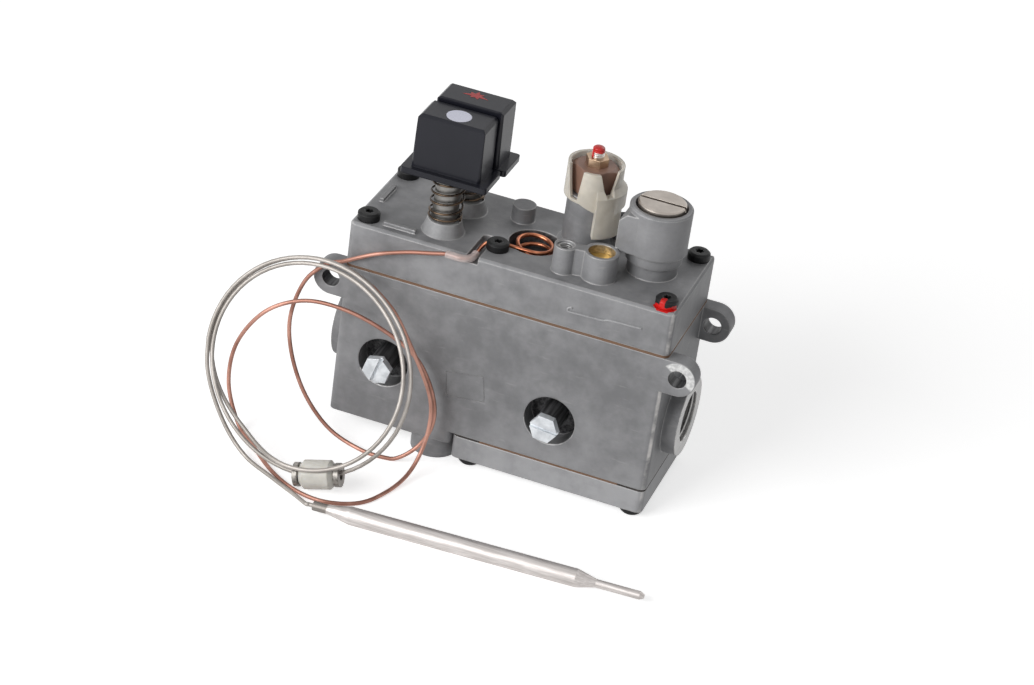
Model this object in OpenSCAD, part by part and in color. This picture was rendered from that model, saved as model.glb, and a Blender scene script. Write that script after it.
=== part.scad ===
// Thermostatic gas valve: a cast body with a top cover, two push buttons, a setting
// spindle, a pressure regulator and a capillary that ends in a sensing bulb.
// Millimetres. X runs along the gas line, -Y is the front, Z is up, floor at Z = 0.

/* [Housing] */
// Length of the body and cover, without ears and port bosses
housing_l = 120; // [110:1:150]
// Depth of the body and cover, front face to rear face
housing_d = 48.5; // [46:0.5:60]
// Height of the top cover, gasket face to deck
cover_h = 16.6; // [14:0.1:20]
// Height of the body, gasket face to its plain underside
body_h = 59.1; // [56:0.1:72]
// Step from the plain underside up to the seat of the bottom cover
seat_step = 4.9; // [3:0.1:6]
// Thickness of the bottom cover
bottom_cover_t = 8.8; // [7:0.1:12]
// Thickness of the gasket under the top cover
gasket_t = 1; // [0.5:0.1:2]
// Thickness of the gasket above the bottom cover
bottom_gasket_t = 0.8; // [0.5:0.1:2]
// Left end of the bottom cover, from the middle of the valve
bottom_cover_x = -12.5; // [-14:0.5:-8]
// Corner radius of the castings in plan
corner_r = 2.5; // [1:0.1:4]
// Bevel along the upper edges of the deck
edge_bevel = 0.9; // [0.4:0.1:1.5]

/* [Ears] */
// Radius of an ear
ear_r = 6.5; // [5.5:0.1:8]
// Radius of the hole in an ear
ear_hole_r = 3.3; // [2.1:0.1:4]
// Thickness of an ear
ear_t = 6.5; // [4:0.1:9]
// Distance of an ear's hole beyond the end face
ear_out = 4.5; // [4:0.1:8]
// Distance of an ear's hole below the top of the body
ear_drop = 6.6; // [5:0.1:10]

/* [Gas ports] */
// Radius of a port boss
port_r = 14.5; // [13:0.1:17]
// Length of a port boss beyond the end face
port_proud = 5.5; // [3:0.1:8]
// Radius of the port thread at its crests
port_thread_r = 9.3; // [7:0.05:11]
// Depth of the port thread
port_thread_l = 12; // [10:0.1:13]
// Distance of the port axis below the top of the body
port_drop = 34.4; // [30:0.1:38]
// Radius of the gas passages behind the ports
passage_r = 7; // [4:0.1:7]

/* [Test points] */
// Radius of the round recess in the front face
recess_r = 9.4; // [8:0.1:10]
// Depth of the recess
recess_depth = 8; // [5:0.1:9]
// Radius of a test nipple
nipple_r = 4.5; // [4:0.1:5.5]
// Length of a nipple beyond the front face
nipple_proud = 3.9; // [2:0.1:6]
// Width across the flats of a sealing screw
test_screw_af = 9.4; // [8:0.1:10]
// Height of a sealing screw's head
test_screw_h = 2.7; // [2:0.1:4]
// Place of the inlet test point along the valve
inlet_test_x = -41.5; // [-44:0.5:-40]
// Place of the outlet test point along the valve
outlet_test_x = 22; // [18:0.5:26]

/* [Fasteners] */
// Radius of a screw head
screw_head_r = 4; // [3.5:0.1:4.5]
// Height of a screw head
screw_head_h = 3.1; // [2.5:0.1:3.5]
// Radius of a screw shank
screw_r = 2; // [1.5:0.1:2.5]
// Thread engagement of a screw in the body
screw_grip = 8; // [6:0.5:10]
// Distance of a corner screw from the end face
screw_inset_x = 5; // [4.5:0.1:7]
// Distance of a corner screw from the front or rear face
screw_inset_y = 5.5; // [4.5:0.1:7]

/* [Buttons] */
// Width of a button's block
button_w = 25.6; // [22:0.1:28]
// Depth of the off button's block
off_button_d = 13.6; // [12.5:0.1:14]
// Depth of the ignition button's block
ignition_button_d = 13.4; // [12:0.1:15]
// Height of the off button above the deck
off_button_z = 44.3; // [38:0.1:50]
// Height of the ignition button above the deck
ignition_button_z = 45.8; // [38:0.1:52]
// Height of the flanges above the deck
button_flange_z = 22; // [18:0.1:25]
// Thickness of a flange
button_flange_t = 2.2; // [1.5:0.1:3]
// Width of a flange
button_flange_w = 31.6; // [29:0.1:34]
// Wall of a button
button_wall = 1.8; // [1.2:0.1:2.5]
// Bevel along a button's outer upper edges
button_bevel = 1.1; // [0.5:0.1:2.5]
// Radius of a stem
stem_r = 4.6; // [4:0.1:5]
// Travel of the off button
off_travel = 4; // [2:0.1:5]
// Travel of the ignition button
ignition_travel = 5; // [3:0.1:6]
// Wire diameter of a button spring
button_wire = 0.8; // [0.6:0.1:1]
// Height of the guide bosses under the buttons
guide_h = 5; // [4:0.1:7]
// Place of the off stem along the valve
off_x = -29.6; // [-32:0.1:-28]
// Place of the off stem across the valve
off_y = -12; // [-13:0.1:-11]
// Place of the ignition stem along the valve
ignition_x = -28.2; // [-30:0.1:-27]
// Place of the ignition stem across the valve
ignition_y = 7; // [6:0.1:8]

/* [Thermostat] */
// Radius of the cast tower
tower_r = 8.5; // [8:0.1:9]
// Height of the cast tower above the deck
tower_h = 20; // [19:0.1:22]
// Radius of the setting ring's flange
ring_r = 12; // [11.2:0.1:12.4]
// Height of the flange's lower edge above the deck
ring_z = 17; // [16.5:0.1:18]
// Height of the finger's lower end above the deck
finger_z = 7; // [6:0.1:11]
// Travel of the setting ring between its stops, in degrees
setting_turn = 225; // [180:5:225]
// Lift of the main valve over the whole turn
main_valve_lift = 3.5; // [2:0.1:3.6]
// Place of the setting spindle along the valve
setting_x = 16; // [15:0.1:16.5]
// Place of the setting spindle across the valve
setting_y = 8.6; // [7:0.1:9]

/* [Regulator] */
// Radius of the regulator tower
regulator_r = 11.1; // [10.5:0.1:12]
// Height of the regulator tower above the deck
regulator_h = 25.5; // [22:0.1:30]
// Radius of the slotted cap
regulator_cap_r = 8.5; // [8:0.1:8.8]
// Radius of the spring chamber
spring_bore_r = 7.5; // [7:0.1:7.8]
// Radius of the diaphragm
diaphragm_r = 13; // [11:0.1:13.5]
// Stroke of the regulator valve either way from rest
regulator_stroke = 1; // [0.5:0.1:1]
// Place of the regulator along the valve
regulator_x = 43; // [42:0.1:44]
// Place of the regulator across the valve
regulator_y = 1.7; // [0:0.1:3]

/* [Pilot ports] */
// Height of the two-port boss above the deck
pilot_boss_h = 10; // [8:0.1:13]
// Outer radius of the large port
pilot_r = 6.1; // [5.6:0.1:7]
// Bore radius of the large port
pilot_bore_r = 4.8; // [4:0.1:5]
// Outer radius of the small port
insert_port_r = 4.1; // [3.8:0.1:4.6]
// Bore radius of the small port
insert_bore_r = 3; // [2.6:0.1:3.2]
// Radius of the thermocouple thread at its crests
thermocouple_r = 4; // [3:0.1:4.5]
// Radius of the pilot outlet boss under the body
outlet_boss_r = 8.5; // [7.5:0.1:9]
// Radius of the pilot outlet thread at its crests
outlet_thread_r = 4.4; // [3:0.1:5]

/* [Capillary] */
// Outer diameter of the capillary
capillary_d = 1.5; // [1:0.1:1.8]
// Mean radius of the short coil in the deck
deck_coil_r = 6.2; // [5.5:0.1:6.5]
// Rise of one turn of the short coil
deck_coil_pitch = 2.15; // [1.95:0.05:2.2]
// Mean radius of the loose coil at its inner end
loose_coil_r = 33.7; // [32:0.1:34]
// Growth of the loose coil's radius in one turn
loose_coil_step = 2; // [1.95:0.05:2.2]
// Lean of the loose coil against the valve, in degrees
loose_coil_lean = 27; // [24:1:30]
// Radius of the sensing bulb
bulb_r = 3.25; // [3:0.05:3.5]
// Length of the bulb's full-width barrel
bulb_l = 81.5; // [60:0.5:90]
// Radius of the nylon gland bush
gland_r = 5.2; // [4.5:0.1:5.3]
// Length of the nylon gland bush
gland_l = 12.6; // [10:0.1:13]

/* [Hidden] */
$fn = 64;

// Named clearances: touching threads, running fits, gaps at the end of a stroke, free air
thread_gap = 0.05;
run_gap = 0.04;
stop_gap = 0.3;
free_gap = 0.5;
eps = 0.01;
cut = 1;

// Levels above the floor
bottom_z = screw_head_h;
bottom_gasket_z = bottom_z + bottom_cover_t;
seat_z = bottom_gasket_z + bottom_gasket_t;
underside_z = seat_z - seat_step;
body_top_z = underside_z + body_h;
cover_z = body_top_z + gasket_t;
deck_z = cover_z + cover_h;
port_z = body_top_z - port_drop;
ear_z = body_top_z - ear_drop;

// Faces and axes
end_x = housing_l / 2;
front_y = -housing_d / 2;
port_x = end_x + port_proud;
ear_x = end_x + ear_out;
test_proud = nipple_proud + test_screw_h;
// The middle of the front and rear extremes is at Y = 0
centre_y = test_proud / 2;
inlet_test_z = port_z + 0.1;
outlet_test_z = port_z - 3.1;
corner_screw_x = end_x - screw_inset_x;
corner_screw_y = -front_y - screw_inset_y;
lock_screw_x = -8.5;
lock_screw_y = -14;
rear_screw_x = 26.4;
rear_screw_h = 5;
rear_boss_r = screw_head_r + 0.3;

// Chambers of the body, downwards from its top
seat_top_z = body_top_z - 12.4;
seat_web_t = 3;
seat_under_z = seat_top_z - seat_web_t;
deep_seat_top_z = seat_top_z - 4;
deep_seat_under_z = deep_seat_top_z - seat_web_t;
safety_r = 12;
shut_off_r = 9;
shut_off_hole_r = 4;
safety_hole_r = 5.5;
magnet_r = 9;
magnet_top_z = seat_under_z - 26.3;
main_r = 11;
main_hole_r = 6;
regulator_chamber_r = 10;
regulator_hole_r = 5;
cross_r = 4;
pilot_drill_r = 1.5;
test_drill_r = 1;
outlet_boss_x = -21.4;
outlet_boss_y = front_y + outlet_boss_r;
outlet_thread_l = 12;

// Buttons
off_front = off_y - 6.1;
button_gap = 0.5;
flange_lip = 2;
inner_lip = 0.2;
off_flange_y0 = off_front - flange_lip;
off_flange_y1 = off_front + off_button_d + inner_lip;
ignition_flange_y0 = off_flange_y1 + button_gap;
ignition_block_y0 = ignition_flange_y0 + inner_lip;
ignition_block_mid = ignition_block_y0 + ignition_button_d / 2;
ignition_flange_y1 = ignition_block_y0 + ignition_button_d + flange_lip;
ignition_shift = 1.3;
button_draft = 0.5;
inner_bevel = 0.3;
button_corner_r = 1.5;
post_r = stem_r + 1.6;
stem_socket = 8;
guide_top_r = 6;
guide_base_r = 7.6;
curl_rings = 8;
spring_turn_r = (stem_r + stop_gap + button_wire / 2) / cos(180 / curl_rings);
seal_groove_r = stem_r + 2;
seal_groove_h = 2.2;
seal_wire_r = 0.9;
seal_drop = 6;
disc_t = 2;
shut_off_disc_r = 7.5;
shut_off_disc_z = seat_top_z + stop_gap + off_travel;
push_pin_r = 2;

// Safety valve
safety_disc_r = 8.8;
safety_seal_t = 1.7;
safety_disc_z = seat_under_z - stop_gap - safety_seal_t - disc_t;
armature_r = 6.5;
armature_z = magnet_top_z + stop_gap + ignition_travel;
spindle_r = 2;
magnet_collar_r = 10.2;
magnet_collar_h = 6;
contact_r = 2.6;
contact_l = 4;

// Thermostat
setting_bore_r = 6;
capsule_r = 9.6;
capsule_t = 4.4;
capsule_room_r = 10.5;
capsule_room_z = cover_z + 8.6;
capsule_z = capsule_room_z - 0.5 - capsule_t;
capsule_stub_r = 3;
insert_foot_z = capsule_room_z + 4.4;
ring_wall_gap = 0.35;
ring_inner_r = tower_r + ring_wall_gap;
crown_r = ring_inner_r + 1.15;
crown_z = deck_z + ring_z + 1.6;
crown_top_z = deck_z + tower_h + 11;
shoulder_z = deck_z + ring_z + 5.6;
shoulder_top_z = shoulder_z + 2.2;
finger_from = -65;
finger_to = -10;
flange_to = 70;
gusset_turn = 17;
window_half = 4;
window_sill_z = deck_z + ring_z + 5.8;
insert_angle = -40;
insert_half = 6.9;
insert_r = ring_inner_r - thread_gap;
insert_z = deck_z + tower_h + stop_gap;
insert_top_z = insert_z + 10.1;
nut_af = 7.2;
nut_h = 3;
stud_r = 2.05;
stud_sunk = 8;
stud_top_z = insert_top_z + 6.4;
main_disc_r = 8;
main_disc_z = deep_seat_top_z + free_gap + main_valve_lift;
main_collar_r = 5.5;
main_collar_z = deep_seat_under_z - 10;

// Regulator
web_front_y = regulator_y - 10;
web_back_y = regulator_y + 2;
web_x = regulator_x - regulator_r - 0.6;
web_top = regulator_h - 2.1;
web_bevel = 2.6;
tower_step_1 = 5;
tower_step_2 = 9;
tower_foot_r = 8.9;
tower_waist_r = 10;
cap_bore_r = regulator_cap_r + 0.75;
cap_bore_depth = 8;
cap_proud = 1.5;
cap_head_h = 5;
cap_neck_l = 5;
cap_slot_w = 1.4;
adjuster_h = 4;
adjuster_z = deck_z + 6;
plate_t = 1.5;
plate_r = 9;
plate_z = cover_z + stop_gap + regulator_stroke;
diaphragm_room_z = cover_z + 9;
regulator_stem_r = 3;
poppet_r = 7;
poppet_z = deep_seat_under_z - stop_gap - regulator_stroke - disc_t;

// Two-port boss
insert_x = 16.1;
insert_y = -15.5;
pilot_x = 28.4;
pilot_y = -13.3;
pilot_bore_depth = 12;
pilot_screw_z = deck_z + pilot_boss_h - 3.2;

// Capillary places in the deck
capillary_r = capillary_d / 2;
coil_x = 1.5;
coil_y = -2.6;
pocket_r = 9.3;
pocket_depth = 6.4;
channel_w = 4.4;
channel_depth = 2.6;
channel_x = -14;
channel_back_y = -9.6;
deck_tube_z = deck_z - 0.6;
deck_coil_turns = 2.25;
deck_coil_lift = 2;
coil_end_z = deck_tube_z - deck_coil_turns * deck_coil_pitch;
ferrule_r = 1.1;
ferrule_y0 = coil_y + 2;
ferrule_y1 = coil_y + pocket_r + 0.4;
deck_run = [
    [channel_x, -20, deck_tube_z], [channel_x, -17.5, deck_tube_z], [channel_x, -14.5, deck_tube_z],
    [-13.2, -11, deck_tube_z], [-10.4, -9.1, deck_tube_z],
    [-6.5, coil_y - deck_coil_r, deck_tube_z], [-2.5, coil_y - deck_coil_r, deck_tube_z]
];
sleeve_r = 1.35;
sleeve_bore_r = capillary_r + 0.3;
bend_r = 3.8;
bend_y = front_y + 1.65;
sleeve_l = 5;
sleeve_in = 2;

// Route of the copper length: out of the notch, round the bend, then two loops to the loose coil
copper_route = [
    [channel_x, -20, deck_tube_z], [channel_x, -21.3, deck_tube_z], [channel_x, bend_y, deck_tube_z],
    [channel_x - 0.3 * bend_r, bend_y - 0.7 * bend_r, deck_tube_z],
    [channel_x - bend_r, bend_y - bend_r, deck_tube_z],
    [channel_x - bend_r - 2.5, bend_y - bend_r, deck_tube_z],
    [channel_x - bend_r - sleeve_l, bend_y - bend_r, deck_tube_z],
    [-28, -27, 82.8], [-37, -27.2, 80.5], [-48.6, -26.4, 75.7], [-59.4, -25.6, 69.3],
    [-66.4, -25.6, 65.6], [-73, -27.5, 57.5], [-76.5, -28.5, 42.5], [-74, -29.5, 28], [-66.5, -31, 14],
    [-55, -32.5, 4], [-40, -34.5, 0.8], [-30, -33.5, 1], [-22, -30, 8], [-18.5, -29, 19],
    [-21, -29, 31], [-28.5, -29.5, 42.5], [-42, -30.5, 50], [-57, -31.5, 53.8], [-71.5, -32, 52.5],
    [-84.5, -33.5, 44.5], [-93, -35.5, 30], [-93.5, -38.5, 15], [-87, -43, 3], [-79, -49.5, 0.8],
    [-64.5, -63, 0.8], [-52, -70, 0.8], [-40, -71, 0.8], [-29, -64.5, 0.8], [-23, -50, 1],
    [-20.5, -38, 4.5], [-18.8, -32.5, 17], [-20.6, -32, 31]
];
copper_steps = 2;
copper_turn = -0.06;

// Loose coil: a leaning plane, two turns and a quarter, then a tail to the bulb. The first turn
// starts behind the last one, draws in, and comes to the front before it meets the gland
coil_centre = [-59.9, -48.7, 37.4];
coil_right = [1, 0, 0];
coil_up = [0, sin(loose_coil_lean), cos(loose_coil_lean)];
coil_out = [0, -cos(loose_coil_lean), sin(loose_coil_lean)];
loose_turns = 2.25;
loop_rings = 24;
coil_oval = 1.9;
coil_oval_angle = 142;
coil_start_out = -2.2;
coil_front_out = gland_r + 1;
tail_route = [
    [-96.7, -52.1, 27.9], [-92.1, -54.2, 17.2], [-84.4, -57.2, 7.4], [-75.2, -61, 1.8],
    [-63.5, -66.5, 0.9], [-51.5, -73.5, 1.6]
];
gland_turn = 1.5 + 0.058;
gland_bore_r = 1.5;
gland_sag = 0.35;
gland_ring_r = 4.3;
gland_ring_t = 1.8;
bulb_neck = [-42, -78.8, bulb_r];
bulb_turn = 3.5;
bulb_taper_l = 7.5;
bulb_nose_l = 7;
bulb_neck_l = 6;
bulb_neck_r = 1.7;
bulb_tip_l = 17;
bulb_tip_r = 1.5;

// Puts a piece that is drawn about the valve's own middle into the part's frame
module placed() {
    translate([0, centre_y, 0]) children();
}

// Upright block with round corners in plan
module round_block(x0, x1, y0, y1, z0, z1, r) {
    translate([0, 0, z0]) linear_extrude(z1 - z0) {
        translate([x0 + r, y0]) square([x1 - x0 - 2 * r, y1 - y0]);
        translate([x0, y0 + r]) square([x1 - x0, y1 - y0 - 2 * r]);
        for (x = [x0 + r, x1 - r]) {
            for (y = [y0 + r, y1 - r]) {
                translate([x, y]) circle(r);
            }
        }
    }
}

// Upright cylinder by its lower and upper level
module post(x, y, z0, z1, r) {
    translate([x, y, z0]) cylinder(r = r, h = z1 - z0);
}

// Bore along X between two places
module bore_x(x0, x1, y, z, r) {
    translate([x0, y, z]) rotate([0, 90, 0]) cylinder(r = r, h = x1 - x0);
}

// Bore along Y between two places
module bore_y(x, y0, y1, z, r) {
    translate([x, y0, z]) rotate([-90, 0, 0]) cylinder(r = r, h = y1 - y0);
}

// Straight bore between two points
module bore(a, b, r) {
    run = b - a;
    turn = atan2(run[1], run[0]);
    tilt = acos(run[2] / norm(run));
    translate(a) rotate([0, tilt, turn]) cylinder(r = r, h = norm(run));
}

function unit(v) = v / norm(v);
function ease(t) = let (u = min(1, max(0, t))) u * u * (3 - 2 * u);
function place_on_coil(turn) =
    let (
        angle = 90 + 360 * turn,
        step = loose_coil_step * (turn + 2 * (1 - ease((turn - 0.2) / 0.22))),
        r = loose_coil_r + step + coil_oval * cos(2 * (angle - coil_oval_angle)),
        out = turn < 0.53
            ? coil_start_out + (coil_front_out - coil_start_out) * ease((turn - 0.4) / 0.13)
            : turn < 1 ? coil_front_out * min(1, (1 - cos(360 * turn)) / 1.98) : 0
    )
    coil_centre + r * cos(angle) * coil_right + r * sin(angle) * coil_up + out * coil_out;

// Smooth curve through a list of points
function between(a, b, c, d, t) =
    0.5 * (2 * b + (c - a) * t + (2 * a - 5 * b + 4 * c - d) * t * t + (3 * b - a - 3 * c + d) * t * t * t);
function smooth(p, steps) = [
    for (i = [0 : len(p) - 2])
        for (k = [0 : steps - 1])
            between(p[max(i - 1, 0)], p[i], p[i + 1], p[min(i + 2, len(p) - 1)], k / steps),
    p[len(p) - 1]
];
// No point of a tube lies lower than the tube's own radius above the floor
function on_floor(p, r) = [for (q = p) [q[0], q[1], max(q[2], r)]];

// Round tube swept along points
function tangent(p, i) = unit(p[min(i + 1, len(p) - 1)] - p[max(i - 1, 0)]);
function carried(side, along) = unit(side - (side * along) * along);
function sides_along(p, first) = [
    for (i = 0, s = carried(first, tangent(p, 0));
        i < len(p);
        i = i + 1, s = carried(s, tangent(p, min(i, len(p) - 1)))) s
];
function ring_points(p, r, n) =
    let (side = sides_along(p, [0.31, 0.17, 1]))
    [
        for (i = [0 : len(p) - 1])
            let (s = side[i], u = cross(tangent(p, i), s))
            for (k = [0 : n - 1])
                p[i] + r * (cos(360 * k / n) * s + sin(360 * k / n) * u)
    ];
module tube(p, r, n) {
    last = n * (len(p) - 1);
    walls = [
        for (i = [0 : len(p) - 2])
            for (k = [0 : n - 1])
                let (a = i * n + k, b = i * n + (k + 1) % n)
                each [[a, a + n, b], [b, a + n, b + n]]
    ];
    ends = [
        for (k = [1 : n - 2])
            each [[0, k, k + 1], [last, last + k + 1, last + k]]
    ];
    polyhedron(ring_points(p, r, n), concat(walls, ends));
}

// Least gap between turns of a tube, measured between points at least half a turn apart
function least_gap(p, r, apart) = min([
    for (i = [0 : len(p) - 1])
        for (j = [i + apart : 1 : len(p) - 1])
            norm(p[i] - p[j]) - 2 * r
]);

// Helical spring: close end turns, an open middle, straight wire ends
function spring_points(turn_r, wire, z0, z1, turns, close_turns, close_pitch) =
    let (
        rings = curl_rings,
        low = z0 + wire / 2,
        high = z1 - wire / 2,
        open_pitch = (high - low - 2 * close_turns * close_pitch) / (turns - 2 * close_turns),
        coil = [
            for (i = [0 : turns * rings])
                let (
                    t = i / rings,
                    z = t < close_turns ? low + t * close_pitch
                        : t > turns - close_turns ? high - (turns - t) * close_pitch
                        : low + close_turns * close_pitch + (t - close_turns) * open_pitch
                )
                [turn_r * cos(360 * t), turn_r * sin(360 * t), z]
        ],
        end = len(coil) - 1
    )
    concat([coil[0] - [0, wire, 0]], coil, [coil[end] + wire * unit([-coil[end][1], coil[end][0], 0])]);
module spring(x, y, points, wire) {
    translate([x, y, 0]) tube(points, wire / 2, 6);
}

// Screw with a pan head, its underside at z and its shank pointing down
module pan_screw(length) {
    socket_r = 1.9;
    socket_depth = 1.4;
    crown = 0.7;
    difference() {
        union() {
            cylinder(r = screw_head_r, h = screw_head_h - crown);
            translate([0, 0, screw_head_h - crown])
                cylinder(r1 = screw_head_r, r2 = screw_head_r - crown, h = crown);
            translate([0, 0, -length]) cylinder(r = screw_r, h = length + eps);
        }
        translate([0, 0, screw_head_h - socket_depth]) cylinder(r = socket_r, h = socket_depth + cut, $fn = 6);
    }
}

// Places of the cover screws: x, y and height of the seat above the deck
cover_screw_places = [
    [-corner_screw_x, -corner_screw_y, 0], [corner_screw_x, -corner_screw_y, 0],
    [-corner_screw_x, corner_screw_y, 0], [corner_screw_x, corner_screw_y, 0],
    [lock_screw_x, lock_screw_y, 0], [rear_screw_x, corner_screw_y, rear_screw_h]
];
bottom_screw_places = [
    for (x = [bottom_cover_x + screw_inset_x + 1, corner_screw_x])
        for (y = [-corner_screw_y, corner_screw_y])
            [x, y]
];

module ear(side, y0) {
    reach = ear_out + corner_r;
    translate([side * ear_x, y0 + ear_t, ear_z]) rotate([90, 0, 0]) linear_extrude(ear_t) {
        circle(ear_r);
        translate([side > 0 ? -reach : 0, -ear_r]) square([reach, 2 * ear_r]);
    }
}

module test_nipple(x, z) {
    difference() {
        bore_y(x, front_y - nipple_proud, front_y + recess_depth + eps, z, nipple_r);
        bore_y(x, front_y - nipple_proud - cut, front_y + recess_depth, z, screw_r + 1 + thread_gap);
    }
}

module body_shell() {
    left = bottom_cover_x - free_gap;
    round_block(-end_x, end_x, front_y, -front_y, seat_z, body_top_z, corner_r);
    round_block(-end_x, left, front_y, -front_y, underside_z, seat_z + cut, corner_r);
    post(outlet_boss_x, outlet_boss_y, 0, underside_z + cut, outlet_boss_r);
    for (side = [-1, 1]) {
        bore_x(side < 0 ? -port_x : end_x - cut, side < 0 ? -end_x + cut : port_x, 0, port_z, port_r);
        ear(side, front_y);
        ear(side, -front_y - ear_t);
    }
}

module body_rooms() {
    // Upper rooms under the gasket, open at the top
    post(ignition_x, ignition_y, seat_top_z, body_top_z + cut, safety_r);
    post(off_x, off_y, seat_top_z, body_top_z + cut, shut_off_r);
    post(setting_x, setting_y, deep_seat_top_z, body_top_z + cut, main_r);
    post(regulator_x, regulator_y, deep_seat_top_z, body_top_z + cut, regulator_chamber_r);
    // Seat holes
    post(ignition_x, ignition_y, seat_under_z - cut, seat_top_z + cut, safety_hole_r);
    post(off_x, off_y, seat_top_z - 10, seat_top_z + cut, shut_off_hole_r);
    post(setting_x, setting_y, deep_seat_under_z - cut, deep_seat_top_z + cut, main_hole_r);
    post(regulator_x, regulator_y, deep_seat_under_z - cut, deep_seat_top_z + cut, regulator_hole_r);
    // Lower rooms
    post(ignition_x, ignition_y, magnet_top_z, seat_under_z, safety_r);
    post(ignition_x, ignition_y, underside_z - cut, magnet_top_z + cut, magnet_r);
    post(setting_x, setting_y, seat_z - cut, deep_seat_under_z, main_r);
    post(regulator_x, regulator_y, seat_z - cut, deep_seat_under_z, regulator_chamber_r);
    // Passages between the rooms
    bore([off_x, off_y, seat_top_z - 8], [setting_x - main_r + 2, 4, deep_seat_under_z - 10], cross_r);
    bore(
        [setting_x, setting_y, deep_seat_top_z + cross_r + cut],
        [regulator_x, regulator_y, deep_seat_top_z + cross_r + cut], cross_r
    );
}

module body() {
    color("darkgray") placed() difference() {
        union() {
            difference() {
                body_shell();
                for (t = [[inlet_test_x, inlet_test_z], [outlet_test_x, outlet_test_z]]) {
                    bore_y(t[0], front_y - cut, front_y + recess_depth, t[1], recess_r);
                }
            }
            test_nipple(inlet_test_x, inlet_test_z);
            test_nipple(outlet_test_x, outlet_test_z);
        }
        body_rooms();
        // Gas ports
        bore_x(-port_x - cut, -port_x + port_thread_l, 0, port_z, port_thread_r);
        bore_x(-port_x, ignition_x, 0, port_z, passage_r);
        bore_x(port_x - port_thread_l, port_x + cut, 0, port_z, port_thread_r);
        bore_x(regulator_x, port_x, 0, port_z, passage_r);
        // Pilot outlet and test drillings
        post(outlet_boss_x, outlet_boss_y, -cut, outlet_thread_l, outlet_thread_r);
        post(outlet_boss_x, outlet_boss_y, 0, seat_top_z - 8, pilot_drill_r);
        bore_y(outlet_boss_x, outlet_boss_y, outlet_boss_y + 8, seat_top_z - 8 - pilot_drill_r, pilot_drill_r);
        bore_y(inlet_test_x, front_y, 0, inlet_test_z, test_drill_r);
        bore_y(outlet_test_x, front_y, setting_y, outlet_test_z, test_drill_r);
        // Screw and ear holes
        for (s = cover_screw_places) {
            post(s[0], s[1], body_top_z - screw_grip - cut, body_top_z + cut, screw_r + thread_gap);
        }
        for (s = bottom_screw_places) {
            post(s[0], s[1], seat_z - cut, seat_z + screw_grip + cut, screw_r + thread_gap);
        }
        for (side = [-1, 1]) {
            bore_y(side * ear_x, front_y - cut, -front_y + cut, ear_z, ear_hole_r);
        }
    }
}

// Cover block with bevelled upper edges
module cover_block() {
    profile = function (half, h, b) [[-half, 0], [half, 0], [half, h - b], [half - b, h], [b - half, h], [-half, h - b]];
    intersection() {
        round_block(-end_x, end_x, front_y, -front_y, cover_z, deck_z, corner_r);
        translate([0, -front_y, cover_z]) rotate([90, 0, 0]) linear_extrude(housing_d)
            polygon(profile(end_x, cover_h, edge_bevel));
        translate([-end_x, 0, cover_z]) rotate([90, 0, 90]) linear_extrude(housing_l)
            polygon(profile(-front_y, cover_h, edge_bevel));
    }
}

module guide_boss(x, y) {
    translate([x, y, deck_z - eps]) cylinder(r1 = guide_base_r, r2 = guide_top_r, h = guide_h + eps);
}

// Square shoulder on the regulator tower, on the side of the setting tower
module tower_web() {
    translate([0, web_back_y, deck_z]) rotate([90, 0, 0]) linear_extrude(web_back_y - web_front_y) polygon([
        [web_x, tower_step_2], [regulator_x, tower_step_2], [regulator_x, web_top],
        [web_x + web_bevel, web_top], [web_x, web_top - web_bevel]
    ]);
}

module regulator_tower() {
    lip = 0.6;
    translate([regulator_x, regulator_y, deck_z]) rotate_extrude() polygon([
        [0, -cut], [tower_foot_r, -cut], [tower_foot_r, tower_step_1], [tower_waist_r, tower_step_1],
        [tower_waist_r, tower_step_2], [regulator_r, tower_step_2], [regulator_r, regulator_h - lip],
        [regulator_r - lip, regulator_h], [0, regulator_h]
    ]);
}

module setting_tower() {
    ledge = 1.4;
    post(setting_x, setting_y, deck_z - cut, deck_z + tower_h, tower_r);
    translate([setting_x, setting_y, deck_z - eps])
        cylinder(r1 = tower_r + ledge, r2 = tower_r, h = ledge + eps);
}

module pilot_boss() {
    neck = 4.4;
    run = [pilot_x - insert_x, pilot_y - insert_y];
    post(insert_x, insert_y, deck_z - cut, deck_z + pilot_boss_h, insert_port_r);
    post(pilot_x, pilot_y, deck_z - cut, deck_z + pilot_boss_h, pilot_r);
    translate([insert_x, insert_y, deck_z - cut]) rotate([0, 0, atan2(run[1], run[0])])
        translate([0, -neck / 2, 0]) cube([norm(run), neck, pilot_boss_h + cut]);
}

// Small cast marks of the deck: a round pip and two short ribs
module deck_marks() {
    pip_r = 4.2;
    pip_h = 6;
    rib_w = 1.6;
    rib_h = 1.4;
    rib_l = 12;
    post(-8.2, 11.1, deck_z - cut, deck_z + pip_h, pip_r);
    translate([-end_x + 3.4, -5, deck_z - cut]) cube([rib_w, rib_l, rib_h + cut]);
    translate([-48.8, front_y + 3.6, deck_z - cut]) cube([rib_l, rib_w, rib_h + cut]);
}

// Channel and pocket that the capillary lies in
module capillary_bed() {
    floor_z = deck_z - channel_depth;
    top_z = deck_z + cut;
    round_block(
        channel_x - channel_w / 2, channel_x + channel_w / 2,
        front_y - cut - channel_w, channel_back_y + channel_w / 2, floor_z, top_z, channel_w / 2 - eps
    );
    round_block(
        channel_x - channel_w / 2, coil_x, channel_back_y - channel_w / 2 + 0.8,
        channel_back_y + channel_w / 2 + 0.8, floor_z, top_z, channel_w / 2 - eps
    );
    post(coil_x, coil_y, deck_z - pocket_depth, top_z, pocket_r);
    bore_y(coil_x + deck_coil_r, coil_y, ferrule_y1, coil_end_z, ferrule_r + thread_gap);
}

module stem_room(x, y) {
    post(x, y, cover_z - cut, deck_z + guide_h + cut, stem_r + run_gap);
    post(x, y, deck_z - seal_drop, deck_z - seal_drop + seal_groove_h, seal_groove_r);
}

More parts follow.
